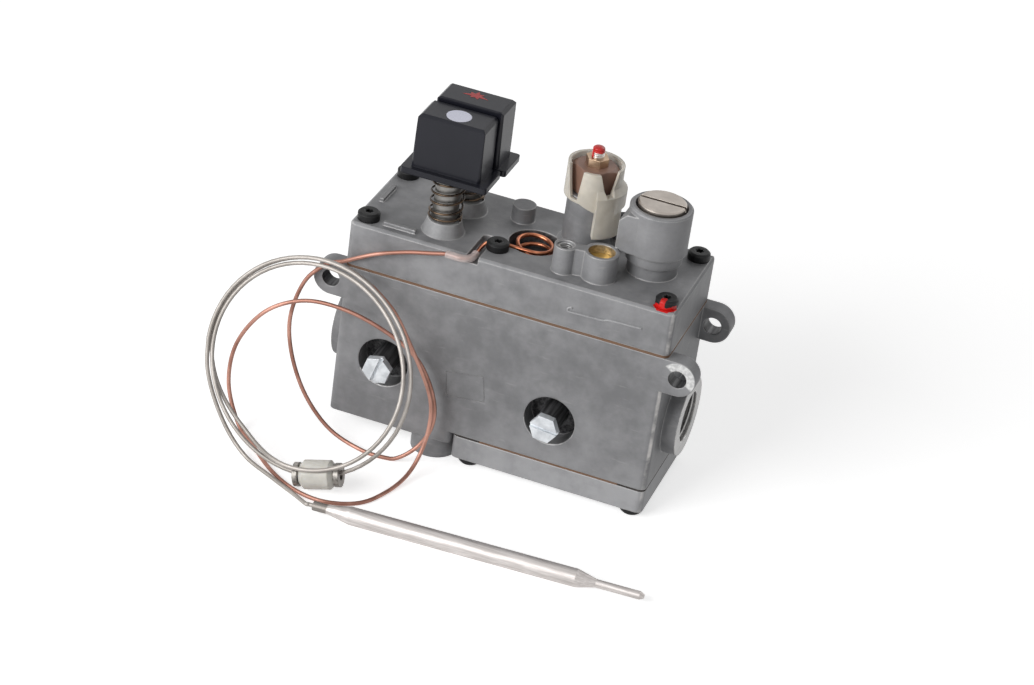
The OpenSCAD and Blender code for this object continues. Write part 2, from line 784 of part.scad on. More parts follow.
module top_cover() {
    color("gray") placed() difference() {
        union() {
            difference() {
                cover_block();
                capillary_bed();
            }
            guide_boss(off_x, off_y);
            guide_boss(ignition_x, ignition_y);
            setting_tower();
            tower_web();
            regulator_tower();
            pilot_boss();
            deck_marks();
            post(rear_screw_x, corner_screw_y, deck_z - cut, deck_z + rear_screw_h, rear_boss_r);
        }
        stem_room(off_x, off_y);
        stem_room(ignition_x, ignition_y);
        // Setting spindle, capsule room
        post(setting_x, setting_y, capsule_room_z - cut, deck_z + tower_h + cut, setting_bore_r);
        post(setting_x, setting_y, cover_z - cut, capsule_room_z, capsule_room_r);
        // Regulator: cap seat, spring chamber, room over the diaphragm
        post(regulator_x, regulator_y, deck_z + regulator_h - cap_bore_depth, deck_z + regulator_h + cut, cap_bore_r);
        post(regulator_x, regulator_y, diaphragm_room_z - cut, deck_z + regulator_h, spring_bore_r);
        post(regulator_x, regulator_y, cover_z - cut, diaphragm_room_z, diaphragm_r - 1);
        // Pilot ports
        post(pilot_x, pilot_y, deck_z + pilot_boss_h - pilot_bore_depth, deck_z + pilot_boss_h + cut, pilot_bore_r);
        post(insert_x, insert_y, deck_z + pilot_boss_h - pilot_bore_depth, deck_z + pilot_boss_h + cut, insert_bore_r);
        for (s = cover_screw_places) {
            post(s[0], s[1], cover_z - cut, deck_z + rear_screw_h + cut, screw_r + thread_gap);
        }
    }
}

module cover_gasket() {
    color("sienna") placed() difference() {
        round_block(-end_x, end_x, front_y, -front_y, body_top_z, cover_z, corner_r);
        post(ignition_x, ignition_y, body_top_z - cut, cover_z + cut, safety_r);
        post(off_x, off_y, body_top_z - cut, cover_z + cut, shut_off_r);
        post(setting_x, setting_y, body_top_z - cut, cover_z + cut, main_r);
        post(regulator_x, regulator_y, body_top_z - cut, cover_z + cut, diaphragm_r + thread_gap);
        for (s = cover_screw_places) {
            post(s[0], s[1], body_top_z - cut, cover_z + cut, screw_r + thread_gap);
        }
    }
}

module bottom_plate(z0, z1) {
    difference() {
        round_block(bottom_cover_x, end_x, front_y, -front_y, z0, z1, corner_r);
        for (s = bottom_screw_places) {
            post(s[0], s[1], z0 - cut, z1 + cut, screw_r + thread_gap);
        }
    }
}

module bottom_cover() {
    color("gray") placed() bottom_plate(bottom_z, bottom_gasket_z);
}

module bottom_gasket() {
    color("sienna") placed() difference() {
        bottom_plate(bottom_gasket_z, seat_z);
        post(setting_x, setting_y, bottom_gasket_z - cut, seat_z + cut, main_r);
        post(regulator_x, regulator_y, bottom_gasket_z - cut, seat_z + cut, regulator_chamber_r);
    }
}

module cover_screws() {
    color("black") placed() {
        for (s = cover_screw_places) {
            translate([s[0], s[1], deck_z + s[2]]) pan_screw(s[2] + cover_h + gasket_t + screw_grip);
        }
    }
}

module bottom_screws() {
    color("black") placed() {
        for (s = bottom_screw_places) {
            translate([s[0], s[1], bottom_z]) rotate([180, 0, 0])
                pan_screw(bottom_cover_t + bottom_gasket_t + screw_grip);
        }
    }
}

module test_point_screws() {
    slot_w = 1.3;
    slot_depth = 1.2;
    shank_l = 7;
    hex_r = test_screw_af / 2 / cos(30);
    color("silver") placed() {
        for (t = [[inlet_test_x, inlet_test_z, -74], [outlet_test_x, outlet_test_z, 6]]) {
            translate([t[0], front_y - nipple_proud, t[1]]) rotate([90, t[2], 0]) difference() {
                union() {
                    cylinder(r = hex_r, h = test_screw_h, $fn = 6);
                    translate([0, 0, -shank_l]) cylinder(r = screw_r + 1, h = shank_l + eps);
                }
                translate([-hex_r - cut, -slot_w / 2, test_screw_h - slot_depth])
                    cube([2 * hex_r + 2 * cut, slot_w, slot_depth + cut]);
            }
        }
    }
}

// Moulded push button: a block over a thin flange, hollow below. Its outer sides are drafted and
// bevelled; the side towards the other button, given by inner as -1 or 1, is upright.
module push_button(x, y0, y1, fx0, fx1, fy0, fy1, top_z, stem_x, stem_y, inner) {
    z0 = deck_z + button_flange_z;
    z1 = deck_z + top_z;
    half = button_w / 2;
    outer_side = [button_draft, button_bevel];
    inner_side = [0, inner_bevel];
    front = inner < 0 ? inner_side : outer_side;
    back = inner > 0 ? inner_side : outer_side;
    edge = function (a, b, p, q, w) [
        [a + w, z0], [b - w, z0], [b - q[0] - w, z1 - q[1] - w], [b - q[0] - max(w, q[1] + w / 2), z1 - w],
        [a + p[0] + max(w, p[1] + w / 2), z1 - w], [a + p[0] + w, z1 - p[1] - w]
    ];
    difference() {
        union() {
            intersection() {
                translate([0, y1 + cut, 0]) rotate([90, 0, 0]) linear_extrude(y1 - y0 + 2 * cut)
                    polygon(edge(x - half, x + half, outer_side, outer_side, 0));
                translate([x - half - cut, 0, 0]) rotate([90, 0, 90]) linear_extrude(button_w + 2 * cut)
                    polygon(edge(y0, y1, front, back, 0));
                round_block(x - half, x + half, y0, y1, z0 - cut, z1 + cut, button_corner_r);
            }
            round_block(fx0, fx1, fy0, fy1, z0, z0 + button_flange_t, 1.2);
        }
        difference() {
            translate([0, 0, -eps]) intersection() {
                translate([0, y1 + cut, 0]) rotate([90, 0, 0]) linear_extrude(y1 - y0 + 2 * cut)
                    polygon(edge(x - half, x + half, outer_side, outer_side, button_wall));
                translate([x - half - cut, 0, 0]) rotate([90, 0, 90]) linear_extrude(button_w + 2 * cut)
                    polygon(edge(y0, y1, front, back, button_wall));
            }
            post(stem_x, stem_y, z0 - cut, z1, post_r);
        }
        post(stem_x, stem_y, z0 - cut, z0 + stem_socket, stem_r + thread_gap);
    }
}

module off_button() {
    flange_half = button_flange_w / 2;
    color([0.12, 0.12, 0.13]) placed() push_button(
        off_x, off_front, off_front + off_button_d, off_x - flange_half, off_x + flange_half,
        off_flange_y0, off_flange_y1, off_button_z, off_x, off_y, 1
    );
}

module ignition_button() {
    flange_half = button_flange_w / 2;
    x = off_x + ignition_shift;
    color([0.12, 0.12, 0.13]) placed() push_button(
        x, ignition_block_y0, ignition_block_y0 + ignition_button_d, x - flange_half, x + flange_half,
        ignition_flange_y0, ignition_flange_y1, ignition_button_z, ignition_x, ignition_y, -1
    );
}

module off_stem() {
    top_z = deck_z + button_flange_z + stem_socket - stop_gap;
    color("dimgray") placed() post(off_x, off_y, shut_off_disc_z + disc_t, top_z, stem_r);
}

module ignition_stem() {
    top_z = deck_z + button_flange_z + stem_socket - stop_gap;
    foot_z = cover_z - ignition_travel + 1;
    color("dimgray") placed() {
        post(ignition_x, ignition_y, foot_z, top_z, stem_r);
        post(ignition_x, ignition_y, seat_under_z + eps, foot_z + eps, push_pin_r);
    }
}

button_spring_points = spring_points(
    spring_turn_r, button_wire, deck_z + guide_h, deck_z + button_flange_z, 6, 1.25, button_wire + 0.5
);
module off_spring() {
    color("saddlebrown") placed() spring(off_x, off_y, button_spring_points, button_wire);
}

module ignition_spring() {
    color("saddlebrown") placed() spring(ignition_x, ignition_y, button_spring_points, button_wire);
}

module shut_off_disc() {
    color([0.15, 0.15, 0.15]) placed()
        post(off_x, off_y, shut_off_disc_z, shut_off_disc_z + disc_t, shut_off_disc_r);
}

module stem_seals() {
    ring_r = seal_groove_r - seal_wire_r - thread_gap;
    color([0.1, 0.1, 0.1]) placed() {
        for (s = [[off_x, off_y], [ignition_x, ignition_y]]) {
            translate([s[0], s[1], deck_z - seal_drop + seal_wire_r + thread_gap]) rotate_extrude()
                translate([ring_r, 0]) circle(seal_wire_r);
        }
    }
}

module safety_valve() {
    hub_r = 2.5;
    color("lightgray") placed() {
        post(ignition_x, ignition_y, safety_disc_z, safety_disc_z + disc_t, safety_disc_r);
        post(ignition_x, ignition_y, safety_disc_z, safety_disc_z + disc_t + safety_seal_t - 0.1, hub_r);
        post(ignition_x, ignition_y, armature_z, safety_disc_z + eps, spindle_r);
        post(ignition_x, ignition_y, armature_z, armature_z + disc_t, armature_r);
    }
}

module safety_seal() {
    color([0.1, 0.1, 0.1]) placed() difference() {
        post(ignition_x, ignition_y, safety_disc_z + disc_t, safety_disc_z + disc_t + safety_seal_t, safety_disc_r - 0.5);
        post(ignition_x, ignition_y, safety_disc_z, safety_disc_z + disc_t + safety_seal_t + cut, 2.5 + thread_gap);
    }
}

safety_wire = 0.8;
safety_spring_points = spring_points(
    magnet_r - safety_wire / 2 - 0.5, safety_wire, magnet_top_z, safety_disc_z, 6, 1, safety_wire + 0.5
);
module safety_spring() {
    color("silver") placed() spring(ignition_x, ignition_y, safety_spring_points, safety_wire);
}

// Thermoelectric magnet: a plain barrel with a hexagon collar and the thermocouple thread
module magnet_unit() {
    color("goldenrod") placed() difference() {
        union() {
            post(ignition_x, ignition_y, underside_z - eps, magnet_top_z, magnet_r - run_gap);
            translate([ignition_x, ignition_y, underside_z - magnet_collar_h])
                cylinder(r = magnet_collar_r, h = magnet_collar_h, $fn = 6);
        }
        post(ignition_x, ignition_y, underside_z - magnet_collar_h - cut, underside_z, thermocouple_r);
        post(ignition_x, ignition_y, underside_z - eps, underside_z + contact_l, contact_r);
    }
}

// Sector of a ring between two angles
module ring_sector(r0, r1, z0, z1, from, to) {
    rotate([0, 0, from]) translate([0, 0, z0]) rotate_extrude(angle = to - from)
        translate([r0, 0]) square([r1 - r0, z1 - z0]);
}

// Upright shape cut or added radially, its outline given by tangential place and height
module radial(angle, r0, r1, outline) {
    rotate([0, 0, angle]) translate([r0, 0, 0]) rotate([90, 0, 90]) linear_extrude(r1 - r0) polygon(outline);
}

// Nylon ring: a crown with two windows, a flange with a sloping shoulder and a long finger
module setting_ring() {
    inner = ring_inner_r - 1;
    gusset_l = crown_r * sin(gusset_turn);
    over_z = crown_top_z + cut;
    color("ivory") placed() translate([setting_x, setting_y, 0]) difference() {
        union() {
            post(0, 0, crown_z, crown_top_z, crown_r);
            ring_sector(inner, ring_r, deck_z + ring_z, shoulder_z, finger_from, flange_to);
            ring_sector(inner, ring_r, deck_z + finger_z, deck_z + ring_z + eps, finger_from, finger_to);
            rotate([0, 0, finger_from]) rotate_extrude(angle = flange_to - finger_from) polygon([
                [inner, shoulder_z - eps], [ring_r, shoulder_z - eps], [crown_r, shoulder_top_z], [inner, shoulder_top_z]
            ]);
            intersection() {
                post(0, 0, deck_z + ring_z - 1, crown_z + cut, crown_r);
                radial(finger_from - gusset_turn, inner, ring_r, [
                    [-gusset_l, crown_z + eps], [gusset_l, deck_z + ring_z - 0.8], [gusset_l, crown_z + eps]
                ]);
            }
        }
        post(0, 0, deck_z, over_z, ring_inner_r);
        radial(insert_angle, 1, ring_r + 1, [
            [-1.3, window_sill_z], [1.3, window_sill_z], [window_half, over_z], [-window_half, over_z]
        ]);
        radial(insert_angle - 81, 1, ring_r + 1, [
            [-0.2, crown_z + 1], [2.7, crown_z + 1], [window_half, over_z], [-window_half, over_z]
        ]);
    }
}

// Brown moulded insert: a square head with round corners and a bevelled top on a round spindle
module setting_insert() {
    bevel = 1.3;
    color([0.42, 0.26, 0.2]) placed() translate([setting_x, setting_y, 0]) difference() {
        union() {
            intersection() {
                rotate([0, 0, insert_angle]) translate([-insert_half, -insert_half, insert_z])
                    cube([2 * insert_half, 2 * insert_half, insert_top_z - insert_z]);
                union() {
                    post(0, 0, insert_z, insert_top_z - bevel, insert_r);
                    translate([0, 0, insert_top_z - bevel - eps])
                        cylinder(r1 = insert_r, r2 = insert_r - 1.6 * bevel, h = bevel + eps);
                }
            }
            post(0, 0, insert_foot_z, insert_z + eps, setting_bore_r - run_gap);
        }
        post(0, 0, insert_top_z - stud_sunk, insert_top_z + cut, stud_r + thread_gap);
    }
}

module calibration_stud() {
    color("lightgray") placed() post(setting_x, setting_y, insert_top_z - stud_sunk, stud_top_z, stud_r);
}

module calibration_nut() {
    color("peru") placed() difference() {
        translate([setting_x, setting_y, insert_top_z]) cylinder(r = nut_af / 2 / cos(30), h = nut_h, $fn = 6);
        post(setting_x, setting_y, insert_top_z - cut, insert_top_z + nut_h + cut, stud_r + thread_gap);
    }
}

// Expanding capsule between the spindle and the main valve
module thermostat_capsule() {
    rim = 1.2;
    color("lightgray") placed() translate([setting_x, setting_y, 0]) {
        rotate_extrude() polygon([
            [0, capsule_z], [capsule_r - rim, capsule_z], [capsule_r, capsule_z + rim],
            [capsule_r, capsule_z + capsule_t - rim], [capsule_r - rim, capsule_z + capsule_t],
            [capsule_stub_r, capsule_z + capsule_t], [capsule_stub_r, insert_foot_z - stop_gap],
            [0, insert_foot_z - stop_gap]
        ]);
    }
}

module capillary_ferrule() {
    color("goldenrod") placed() bore_y(coil_x + deck_coil_r, ferrule_y0, ferrule_y1, coil_end_z, ferrule_r);
}

module main_valve() {
    top_z = capsule_z - stop_gap;
    foot_z = main_collar_z - 12;
    color("lightgray") placed() {
        post(setting_x, setting_y, main_disc_z, main_disc_z + disc_t, main_disc_r);
        post(setting_x, setting_y, foot_z, top_z, spindle_r);
        post(setting_x, setting_y, main_collar_z, main_collar_z + disc_t, main_collar_r);
    }
}

main_wire = 0.8;
main_spring_points = spring_points(
    main_collar_r - main_wire / 2 - 0.4, main_wire, bottom_gasket_z, main_collar_z, 6, 1, main_wire + 0.5
);
module main_valve_spring() {
    color("silver") placed() spring(setting_x, setting_y, main_spring_points, main_wire);
}

module regulator_cap() {
    top_z = deck_z + regulator_h + cap_proud;
    lip = 0.5;
    slot_depth = 1.6;
    color([0.78, 0.74, 0.68]) placed() translate([regulator_x, regulator_y, 0]) difference() {
        rotate_extrude() polygon([
            [0, top_z], [regulator_cap_r - lip, top_z], [regulator_cap_r, top_z - lip],
            [regulator_cap_r, deck_z + regulator_h - cap_bore_depth],
            [spring_bore_r - thread_gap, deck_z + regulator_h - cap_bore_depth],
            [spring_bore_r - thread_gap, deck_z + regulator_h - cap_bore_depth - cap_neck_l],
            [0, deck_z + regulator_h - cap_bore_depth - cap_neck_l]
        ]);
        translate([-regulator_cap_r - cut, -cap_slot_w / 2, top_z - slot_depth])
            cube([2 * regulator_cap_r + 2 * cut, cap_slot_w, slot_depth + cut]);
    }
}

module regulator_adjuster() {
    slot_w = 1.4;
    color("white") placed() translate([regulator_x, regulator_y, 0]) difference() {
        post(0, 0, adjuster_z, adjuster_z + adjuster_h, spring_bore_r - thread_gap);
        translate([-spring_bore_r, -slot_w / 2, adjuster_z + adjuster_h - slot_w])
            cube([2 * spring_bore_r, slot_w, slot_w + cut]);
    }
}

regulator_wire = 1;
regulator_spring_points = spring_points(
    spring_bore_r - regulator_wire / 2 - 0.6, regulator_wire, plate_z + plate_t, adjuster_z, 6, 1, regulator_wire + 0.5
);
module regulator_spring() {
    color("silver") placed() spring(regulator_x, regulator_y, regulator_spring_points, regulator_wire);
}

module regulator_diaphragm() {
    color([0.15, 0.15, 0.15]) placed() difference() {
        post(regulator_x, regulator_y, body_top_z, cover_z, diaphragm_r);
        post(regulator_x, regulator_y, body_top_z - cut, cover_z + cut, regulator_stem_r + thread_gap);
    }
}

module regulator_valve() {
    color("lightgray") placed() {
        post(regulator_x, regulator_y, plate_z, plate_z + plate_t, plate_r);
        post(regulator_x, regulator_y, poppet_z, plate_z + eps, regulator_stem_r);
        post(regulator_x, regulator_y, poppet_z, poppet_z + disc_t, poppet_r);
    }
}

module pilot_adjuster() {
    foot_z = deck_z + pilot_boss_h - pilot_bore_depth;
    slot_w = 1.3;
    slot_depth = 1.6;
    color("gold") placed() translate([pilot_x, pilot_y, 0]) difference() {
        post(0, 0, foot_z + stop_gap, pilot_screw_z, pilot_bore_r - run_gap);
        rotate([0, 0, 35]) translate([-pilot_bore_r, -slot_w / 2, pilot_screw_z - slot_depth])
            cube([2 * pilot_bore_r, slot_w, slot_depth + cut]);
    }
}

module threaded_insert() {
    thread_r = 2.1;
    rim_drop = 0.6;
    color("silver") placed() difference() {
        post(insert_x, insert_y, deck_z + pilot_boss_h - pilot_bore_depth,
            deck_z + pilot_boss_h - rim_drop, insert_bore_r - thread_gap);
        post(insert_x, insert_y, deck_z + pilot_boss_h - pilot_bore_depth + 1.5, deck_z + pilot_boss_h, thread_r);
    }
}

// Short coil in the pocket, its first turn raised on one side, with its run through the channel
deck_points = concat(
    smooth(deck_run, 2),
    [
        for (i = [0 : deck_coil_turns * loop_rings])
            let (t = i / loop_rings, a = 360 * t - 90)
            [
                coil_x + deck_coil_r * cos(a), coil_y + deck_coil_r * sin(a),
                deck_tube_z - t * deck_coil_pitch + deck_coil_lift * pow(sin(180 * min(1, max(0, t - 0.25))), 2)
            ]
    ],
    [[coil_x + deck_coil_r, ferrule_y0 - eps, coil_end_z]]
);
module deck_capillary() {
    color("chocolate") placed() tube(deck_points, capillary_r, 6);
}

// Soft sleeve: out through the notch, round the bend and a short way to the left
module sleeve_wall() {
    difference() {
        circle(sleeve_r);
        circle(sleeve_bore_r);
    }
}

module capillary_sleeve() {
    color([0.9, 0.85, 0.85]) placed() {
        translate([channel_x, bend_y + sleeve_in, deck_tube_z]) rotate([90, 0, 0])
            linear_extrude(sleeve_in) sleeve_wall();
        translate([channel_x - bend_r, bend_y, deck_tube_z]) rotate([0, 0, -90])
            rotate_extrude(angle = 90) translate([bend_r, 0]) sleeve_wall();
        translate([channel_x - bend_r - sleeve_l, bend_y - bend_r, deck_tube_z]) rotate([90, 0, 90])
            linear_extrude(sleeve_l) sleeve_wall();
    }
}

coil_points = [
    place_on_coil(copper_turn),
    for (i = [0 : loose_turns * loop_rings]) place_on_coil(i / loop_rings)
];
copper_lead = [
    for (t = [-0.16, -0.11, copper_turn - 0.002]) place_on_coil(t) + [0, 9 * (copper_turn - t), 0]
];
copper_points = on_floor(smooth(concat(copper_route, copper_lead), copper_steps), capillary_r);
module copper_capillary() {
    color("chocolate") placed() tube(copper_points, capillary_r, 8);
}

bulb_along = [cos(bulb_turn), sin(bulb_turn), 0];
tail_end = [for (back = [3, 1.5, 0]) bulb_neck - back * bulb_along];
tail_points = smooth(concat([place_on_coil(loose_turns)], tail_route, tail_end), 2);
plated_points = on_floor(
    concat(coil_points, [for (i = [1 : len(tail_points) - 1]) tail_points[i]]), capillary_r
);
module plated_capillary() {
    color("silver") placed() tube(plated_points, capillary_r, 6);
}

gland_along = unit(place_on_coil(gland_turn + 0.01) - place_on_coil(gland_turn - 0.01));
gland_place = place_on_coil(gland_turn) + gland_sag * unit(coil_centre - place_on_coil(gland_turn));
module on_gland() {
    turn = atan2(gland_along[1], gland_along[0]);
    tilt = acos(gland_along[2]);
    translate(gland_place) rotate([0, tilt, turn]) children();
}

module gland_bush() {
    bevel = 1.6;
    half = gland_l / 2;
    color("whitesmoke") placed() on_gland() rotate_extrude() polygon([
        [gland_bore_r, -half], [gland_r - bevel, -half], [gland_r, bevel - half],
        [gland_r, half - bevel], [gland_r - bevel, half], [gland_bore_r, half]
    ]);
}

module gland_rings() {
    color("gray") placed() on_gland() {
        for (z = [-gland_l / 2 - stop_gap - gland_ring_t, gland_l / 2 + stop_gap]) {
            translate([0, 0, z]) difference() {
                cylinder(r = gland_ring_r, h = gland_ring_t);
                translate([0, 0, -cut]) cylinder(r = gland_bore_r + 0.3, h = gland_ring_t + 2 * cut);
            }
        }
    }
}

module sensing_bulb() {
    x1 = bulb_neck_l;
    x2 = x1 + bulb_taper_l;
    x3 = x2 + bulb_l;
    x4 = x3 + bulb_nose_l;
    x5 = x4 + bulb_tip_l;
    color("gainsboro") placed() translate(bulb_neck) rotate([0, 90, bulb_turn]) rotate_extrude() polygon([
        [0, thread_gap], [bulb_neck_r, thread_gap], [bulb_neck_r, x1], [bulb_r, x2], [bulb_r, x3], [bulb_tip_r, x4],
        [bulb_tip_r, x5 - bulb_tip_r], [bulb_tip_r / 2, x5], [0, x5]
    ]);
}

echo(least_gap_button_spring = least_gap(button_spring_points, button_wire / 2, 5));
echo(least_gap_safety_spring = least_gap(safety_spring_points, safety_wire / 2, 5));
echo(least_gap_main_spring = least_gap(main_spring_points, main_wire / 2, 5));
echo(least_gap_regulator_spring = least_gap(regulator_spring_points, regulator_wire / 2, 5));
echo(least_gap_deck_coil = least_gap(deck_points, capillary_r, 12));
echo(least_gap_loose_coil = least_gap(plated_points, capillary_r, 12));
echo(least_gap_copper = least_gap(copper_points, capillary_r, 6));

body();
top_cover();
cover_gasket();
bottom_cover();
bottom_gasket();
cover_screws();
bottom_screws();
test_point_screws();
off_button();
off_stem();
off_spring();
shut_off_disc();
ignition_button();
ignition_stem();
ignition_spring();
stem_seals();
safety_valve();
safety_seal();
safety_spring();
magnet_unit();
setting_ring();
setting_insert();
calibration_stud();
calibration_nut();
thermostat_capsule();
capillary_ferrule();
main_valve();
main_valve_spring();
regulator_cap();
regulator_adjuster();
regulator_spring();
regulator_diaphragm();
regulator_valve();
pilot_adjuster();
threaded_insert();
deck_capillary();
capillary_sleeve();
copper_capillary();
plated_capillary();
gland_bush();
gland_rings();
sensing_bulb();
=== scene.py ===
# %% [markdown]
# This lesson dresses a thermostatic gas valve: a cast grey housing with two black push buttons,
# a setting ring, a regulator tower and a thin copper tube that ends in a sensing bulb.
# The exact solids come from the packed CAD model. Everything here is in metres and in its frame,
# so a piece goes where the CAD says and nothing has to be fitted by eye.

# %% Load the frame
import math

import bmesh
import bpy
from mathutils import Matrix, Vector


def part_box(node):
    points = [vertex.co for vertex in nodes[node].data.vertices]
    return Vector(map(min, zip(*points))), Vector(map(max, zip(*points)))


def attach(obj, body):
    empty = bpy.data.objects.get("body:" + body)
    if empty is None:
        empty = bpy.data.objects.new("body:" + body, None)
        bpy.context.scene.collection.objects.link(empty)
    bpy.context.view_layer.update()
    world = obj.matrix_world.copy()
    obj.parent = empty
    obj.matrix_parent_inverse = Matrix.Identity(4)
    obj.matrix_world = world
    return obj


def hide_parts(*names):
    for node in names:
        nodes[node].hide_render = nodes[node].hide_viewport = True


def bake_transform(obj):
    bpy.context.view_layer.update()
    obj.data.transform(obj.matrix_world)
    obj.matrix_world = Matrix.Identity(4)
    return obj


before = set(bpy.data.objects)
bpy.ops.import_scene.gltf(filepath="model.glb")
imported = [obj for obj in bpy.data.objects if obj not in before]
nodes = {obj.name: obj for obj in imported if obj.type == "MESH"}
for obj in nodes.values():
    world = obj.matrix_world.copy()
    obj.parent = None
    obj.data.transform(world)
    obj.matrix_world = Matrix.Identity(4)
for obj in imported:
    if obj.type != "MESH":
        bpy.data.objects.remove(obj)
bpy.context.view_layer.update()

# %% [markdown]
# Most places on this valve are easiest to give from the middle of its flat deck, in millimetres:
# X along the gas line, Y to the back and the height above the deck.
# One small function turns such a place into a point of the scene.

# %% Places on the deck
MM = 0.001
DECK_Y = 3.3
DECK_Z = 84.5


def spot(x, y, up=0.0):
    return Vector((x, y + DECK_Y, up + DECK_Z)) * MM


print("middle of the deck", [round(v, 4) for v in spot(0, 0)])

# %% [markdown]
# The photograph was taken with a long lens from the front, a little to the right and above, with
# the camera rolled by a few degrees. A camera matrix is three axes and a place, so the viewing
# angles give the axes and the distance gives the place. The lens is in millimetres on a 36 mm
# sensor, worked out for an image that is 1034 pixels wide.

# %% Camera
def linked(name, data):
    """An object in the scene with the given data."""
    item = bpy.data.objects.new(name, data)
    bpy.context.scene.collection.objects.link(item)
    return item


turn, climb, roll = (math.radians(v) for v in (15.75, 30.38, 8.40))
ASIDE, BELOW, DISTANCE = 5.926, 36.37, 1087.06
SENSOR = 36.0
IMAGE_WIDTH = 1034
FOCAL_PIXELS = 3111.72

flat = math.cos(climb)
back = Vector((math.sin(turn) * flat, -math.cos(turn) * flat, math.sin(climb)))
level = (-back).cross(Vector((0, 0, 1))).normalized()
upright = level.cross(-back)
cam_x = math.cos(roll) * level + math.sin(roll) * upright
cam_y = -math.sin(roll) * level + math.cos(roll) * upright
stand = (-ASIDE * cam_x - BELOW * cam_y + DISTANCE * back) * MM + spot(0, 0)
camera_data = bpy.data.cameras.new("studio_camera")
camera_data.sensor_width = SENSOR
camera_data.lens = FOCAL_PIXELS / IMAGE_WIDTH * SENSOR
camera_data.clip_start, camera_data.clip_end = 0.05, 20.0
camera = linked("studio_camera", camera_data)
axes = Matrix((cam_x, cam_y, back)).transposed().to_4x4()
camera.matrix_world = Matrix.Translation(stand) @ axes
bpy.context.scene.camera = camera
print("camera at", [round(v, 3) for v in stand], "lens", round(camera_data.lens, 1), "mm")

# %% [markdown]
# The thin tube leaves a notch in the front edge of the deck, makes two large copper loops, then
# winds into a loose plated coil and runs along the floor to the bulb. A tube like this keeps the
# shape it was bent to. Its route is a short list of points, and a smooth spline through them
# gives the bends. The coil is a formula, because a winding follows a rule.

# %% Route of the thin tube
TUBE_R = 0.75
FLOOR_GAP = 0.02
SPLINE_STEPS = 8
ROUTE = [
    (-14, -20, 83.9), (-14, -21.3, 83.9), (-14, -22.6, 83.9), (-15.14, -25.26, 83.9),
    (-17.8, -26.4, 83.9), (-20.3, -26.4, 83.9), (-22.8, -26.4, 83.9), (-28, -27, 82.8),
    (-37, -27.2, 80.5), (-48.6, -26.4, 75.7), (-59.4, -25.6, 69.3), (-66.4, -25.6, 65.6),
    (-73, -27.5, 57.5), (-76.5, -28.5, 42.5), (-74, -29.5, 28), (-66.5, -31, 14),
    (-55, -32.5, 4), (-40, -34.5, 0.8), (-30, -33.5, 1), (-22, -30, 8), (-18.5, -29, 19),
    (-21, -29, 31), (-28.5, -29.5, 42.5), (-42, -30.5, 50), (-57, -31.5, 53.8),
    (-71.5, -32, 52.5), (-84.5, -33.5, 44.5), (-93, -35.5, 30), (-93.5, -38.5, 15),
    (-87, -43, 3), (-79, -49.5, 0.8), (-64.5, -63, 0.8), (-52, -70, 0.8), (-40, -71, 0.8),
    (-29, -64.5, 0.8), (-23, -50, 1), (-20.5, -38, 4.5), (-18.8, -32.5, 17), (-20.6, -32, 31),
]
TAIL = [
    (-96.7, -52.1, 27.9), (-92.1, -54.2, 17.2), (-84.4, -57.2, 7.4), (-75.2, -61, 1.8),
    (-63.5, -66.5, 0.9), (-51.5, -73.5, 1.6),
]
COIL_MIDDLE = Vector((-59.9, -48.7, 37.4))
COIL_LEAN = math.radians(27)
COIL_R = 33.7
COIL_GROWTH = 2
COIL_FLARE, FLARE_START, FLARE_END = 4, 0.2, 0.42
COIL_OVAL, OVAL_TURN = 1.9, math.radians(142)
COIL_BEHIND, COIL_FRONT = -2.2, 6.2
CROSSING, CROSSED, ALL_FRONT = 0.4, 0.53, 1.98
COPPER_TURN, LAST_TURN = -0.06, 2.25
LEAD_TURNS = (-0.16, -0.11, COPPER_TURN - 0.002)
LEAD_DRIFT = 9
COIL_STEPS = 170
BULB_TURN = math.radians(3.5)
NECK = Vector((-42, -78.8, 3.25))
NECK_RUN = Vector((math.cos(BULB_TURN), math.sin(BULB_TURN), 0))


def ease(t):
    t = min(1.0, max(0.0, t))
    return t * t * (3 - 2 * t)


def on_coil(turns):
    """A place on the loose coil. Its first turn starts wide and behind, and comes to the front."""
    angle = math.radians(90 + 360 * turns)
    drawn_in = ease((turns - FLARE_START) / (FLARE_END - FLARE_START))
    radius = COIL_R + COIL_GROWTH * turns + COIL_FLARE * (1 - drawn_in)
    radius += COIL_OVAL * math.cos(2 * (angle - OVAL_TURN))
    out = 0.0
    if turns < CROSSED:
        share = ease((turns - CROSSING) / (CROSSED - CROSSING))
        out = COIL_BEHIND + (COIL_FRONT - COIL_BEHIND) * share
    elif turns < 1:
        out = COIL_FRONT * min(1.0, (1 - math.cos(math.tau * turns)) / ALL_FRONT)
    up = Vector((0, math.sin(COIL_LEAN), math.cos(COIL_LEAN)))
    front = Vector((0, -math.cos(COIL_LEAN), math.sin(COIL_LEAN)))
    across = Vector((1, 0, 0)) * math.cos(angle) + up * math.sin(angle)
    return COIL_MIDDLE + radius * across + out * front


def smooth(points, steps):
    """A Catmull-Rom curve through the points."""
    p = [Vector(q) for q in points]
    p = [p[0]] + p + [p[-1]]
    curve = []
    for a, b, c, d in zip(p, p[1:], p[2:], p[3:]):
        for k in range(steps):
            t = k / steps
            curve.append(
                0.5 * (2 * b + (c - a) * t + (2 * a - 5 * b + 4 * c - d) * t * t
                       + (3 * b - a - 3 * c + d) * t ** 3)
            )
    return curve + [p[-1]]


def run_length(points):
    return sum((b - a).length for a, b in zip(points, points[1:]))


def in_scene(points):
    """Deck places with a height above the floor, as scene points that clear the floor."""
    return [Vector((q.x, q.y + DECK_Y, max(q.z, TUBE_R + FLOOR_GAP))) * MM for q in points]


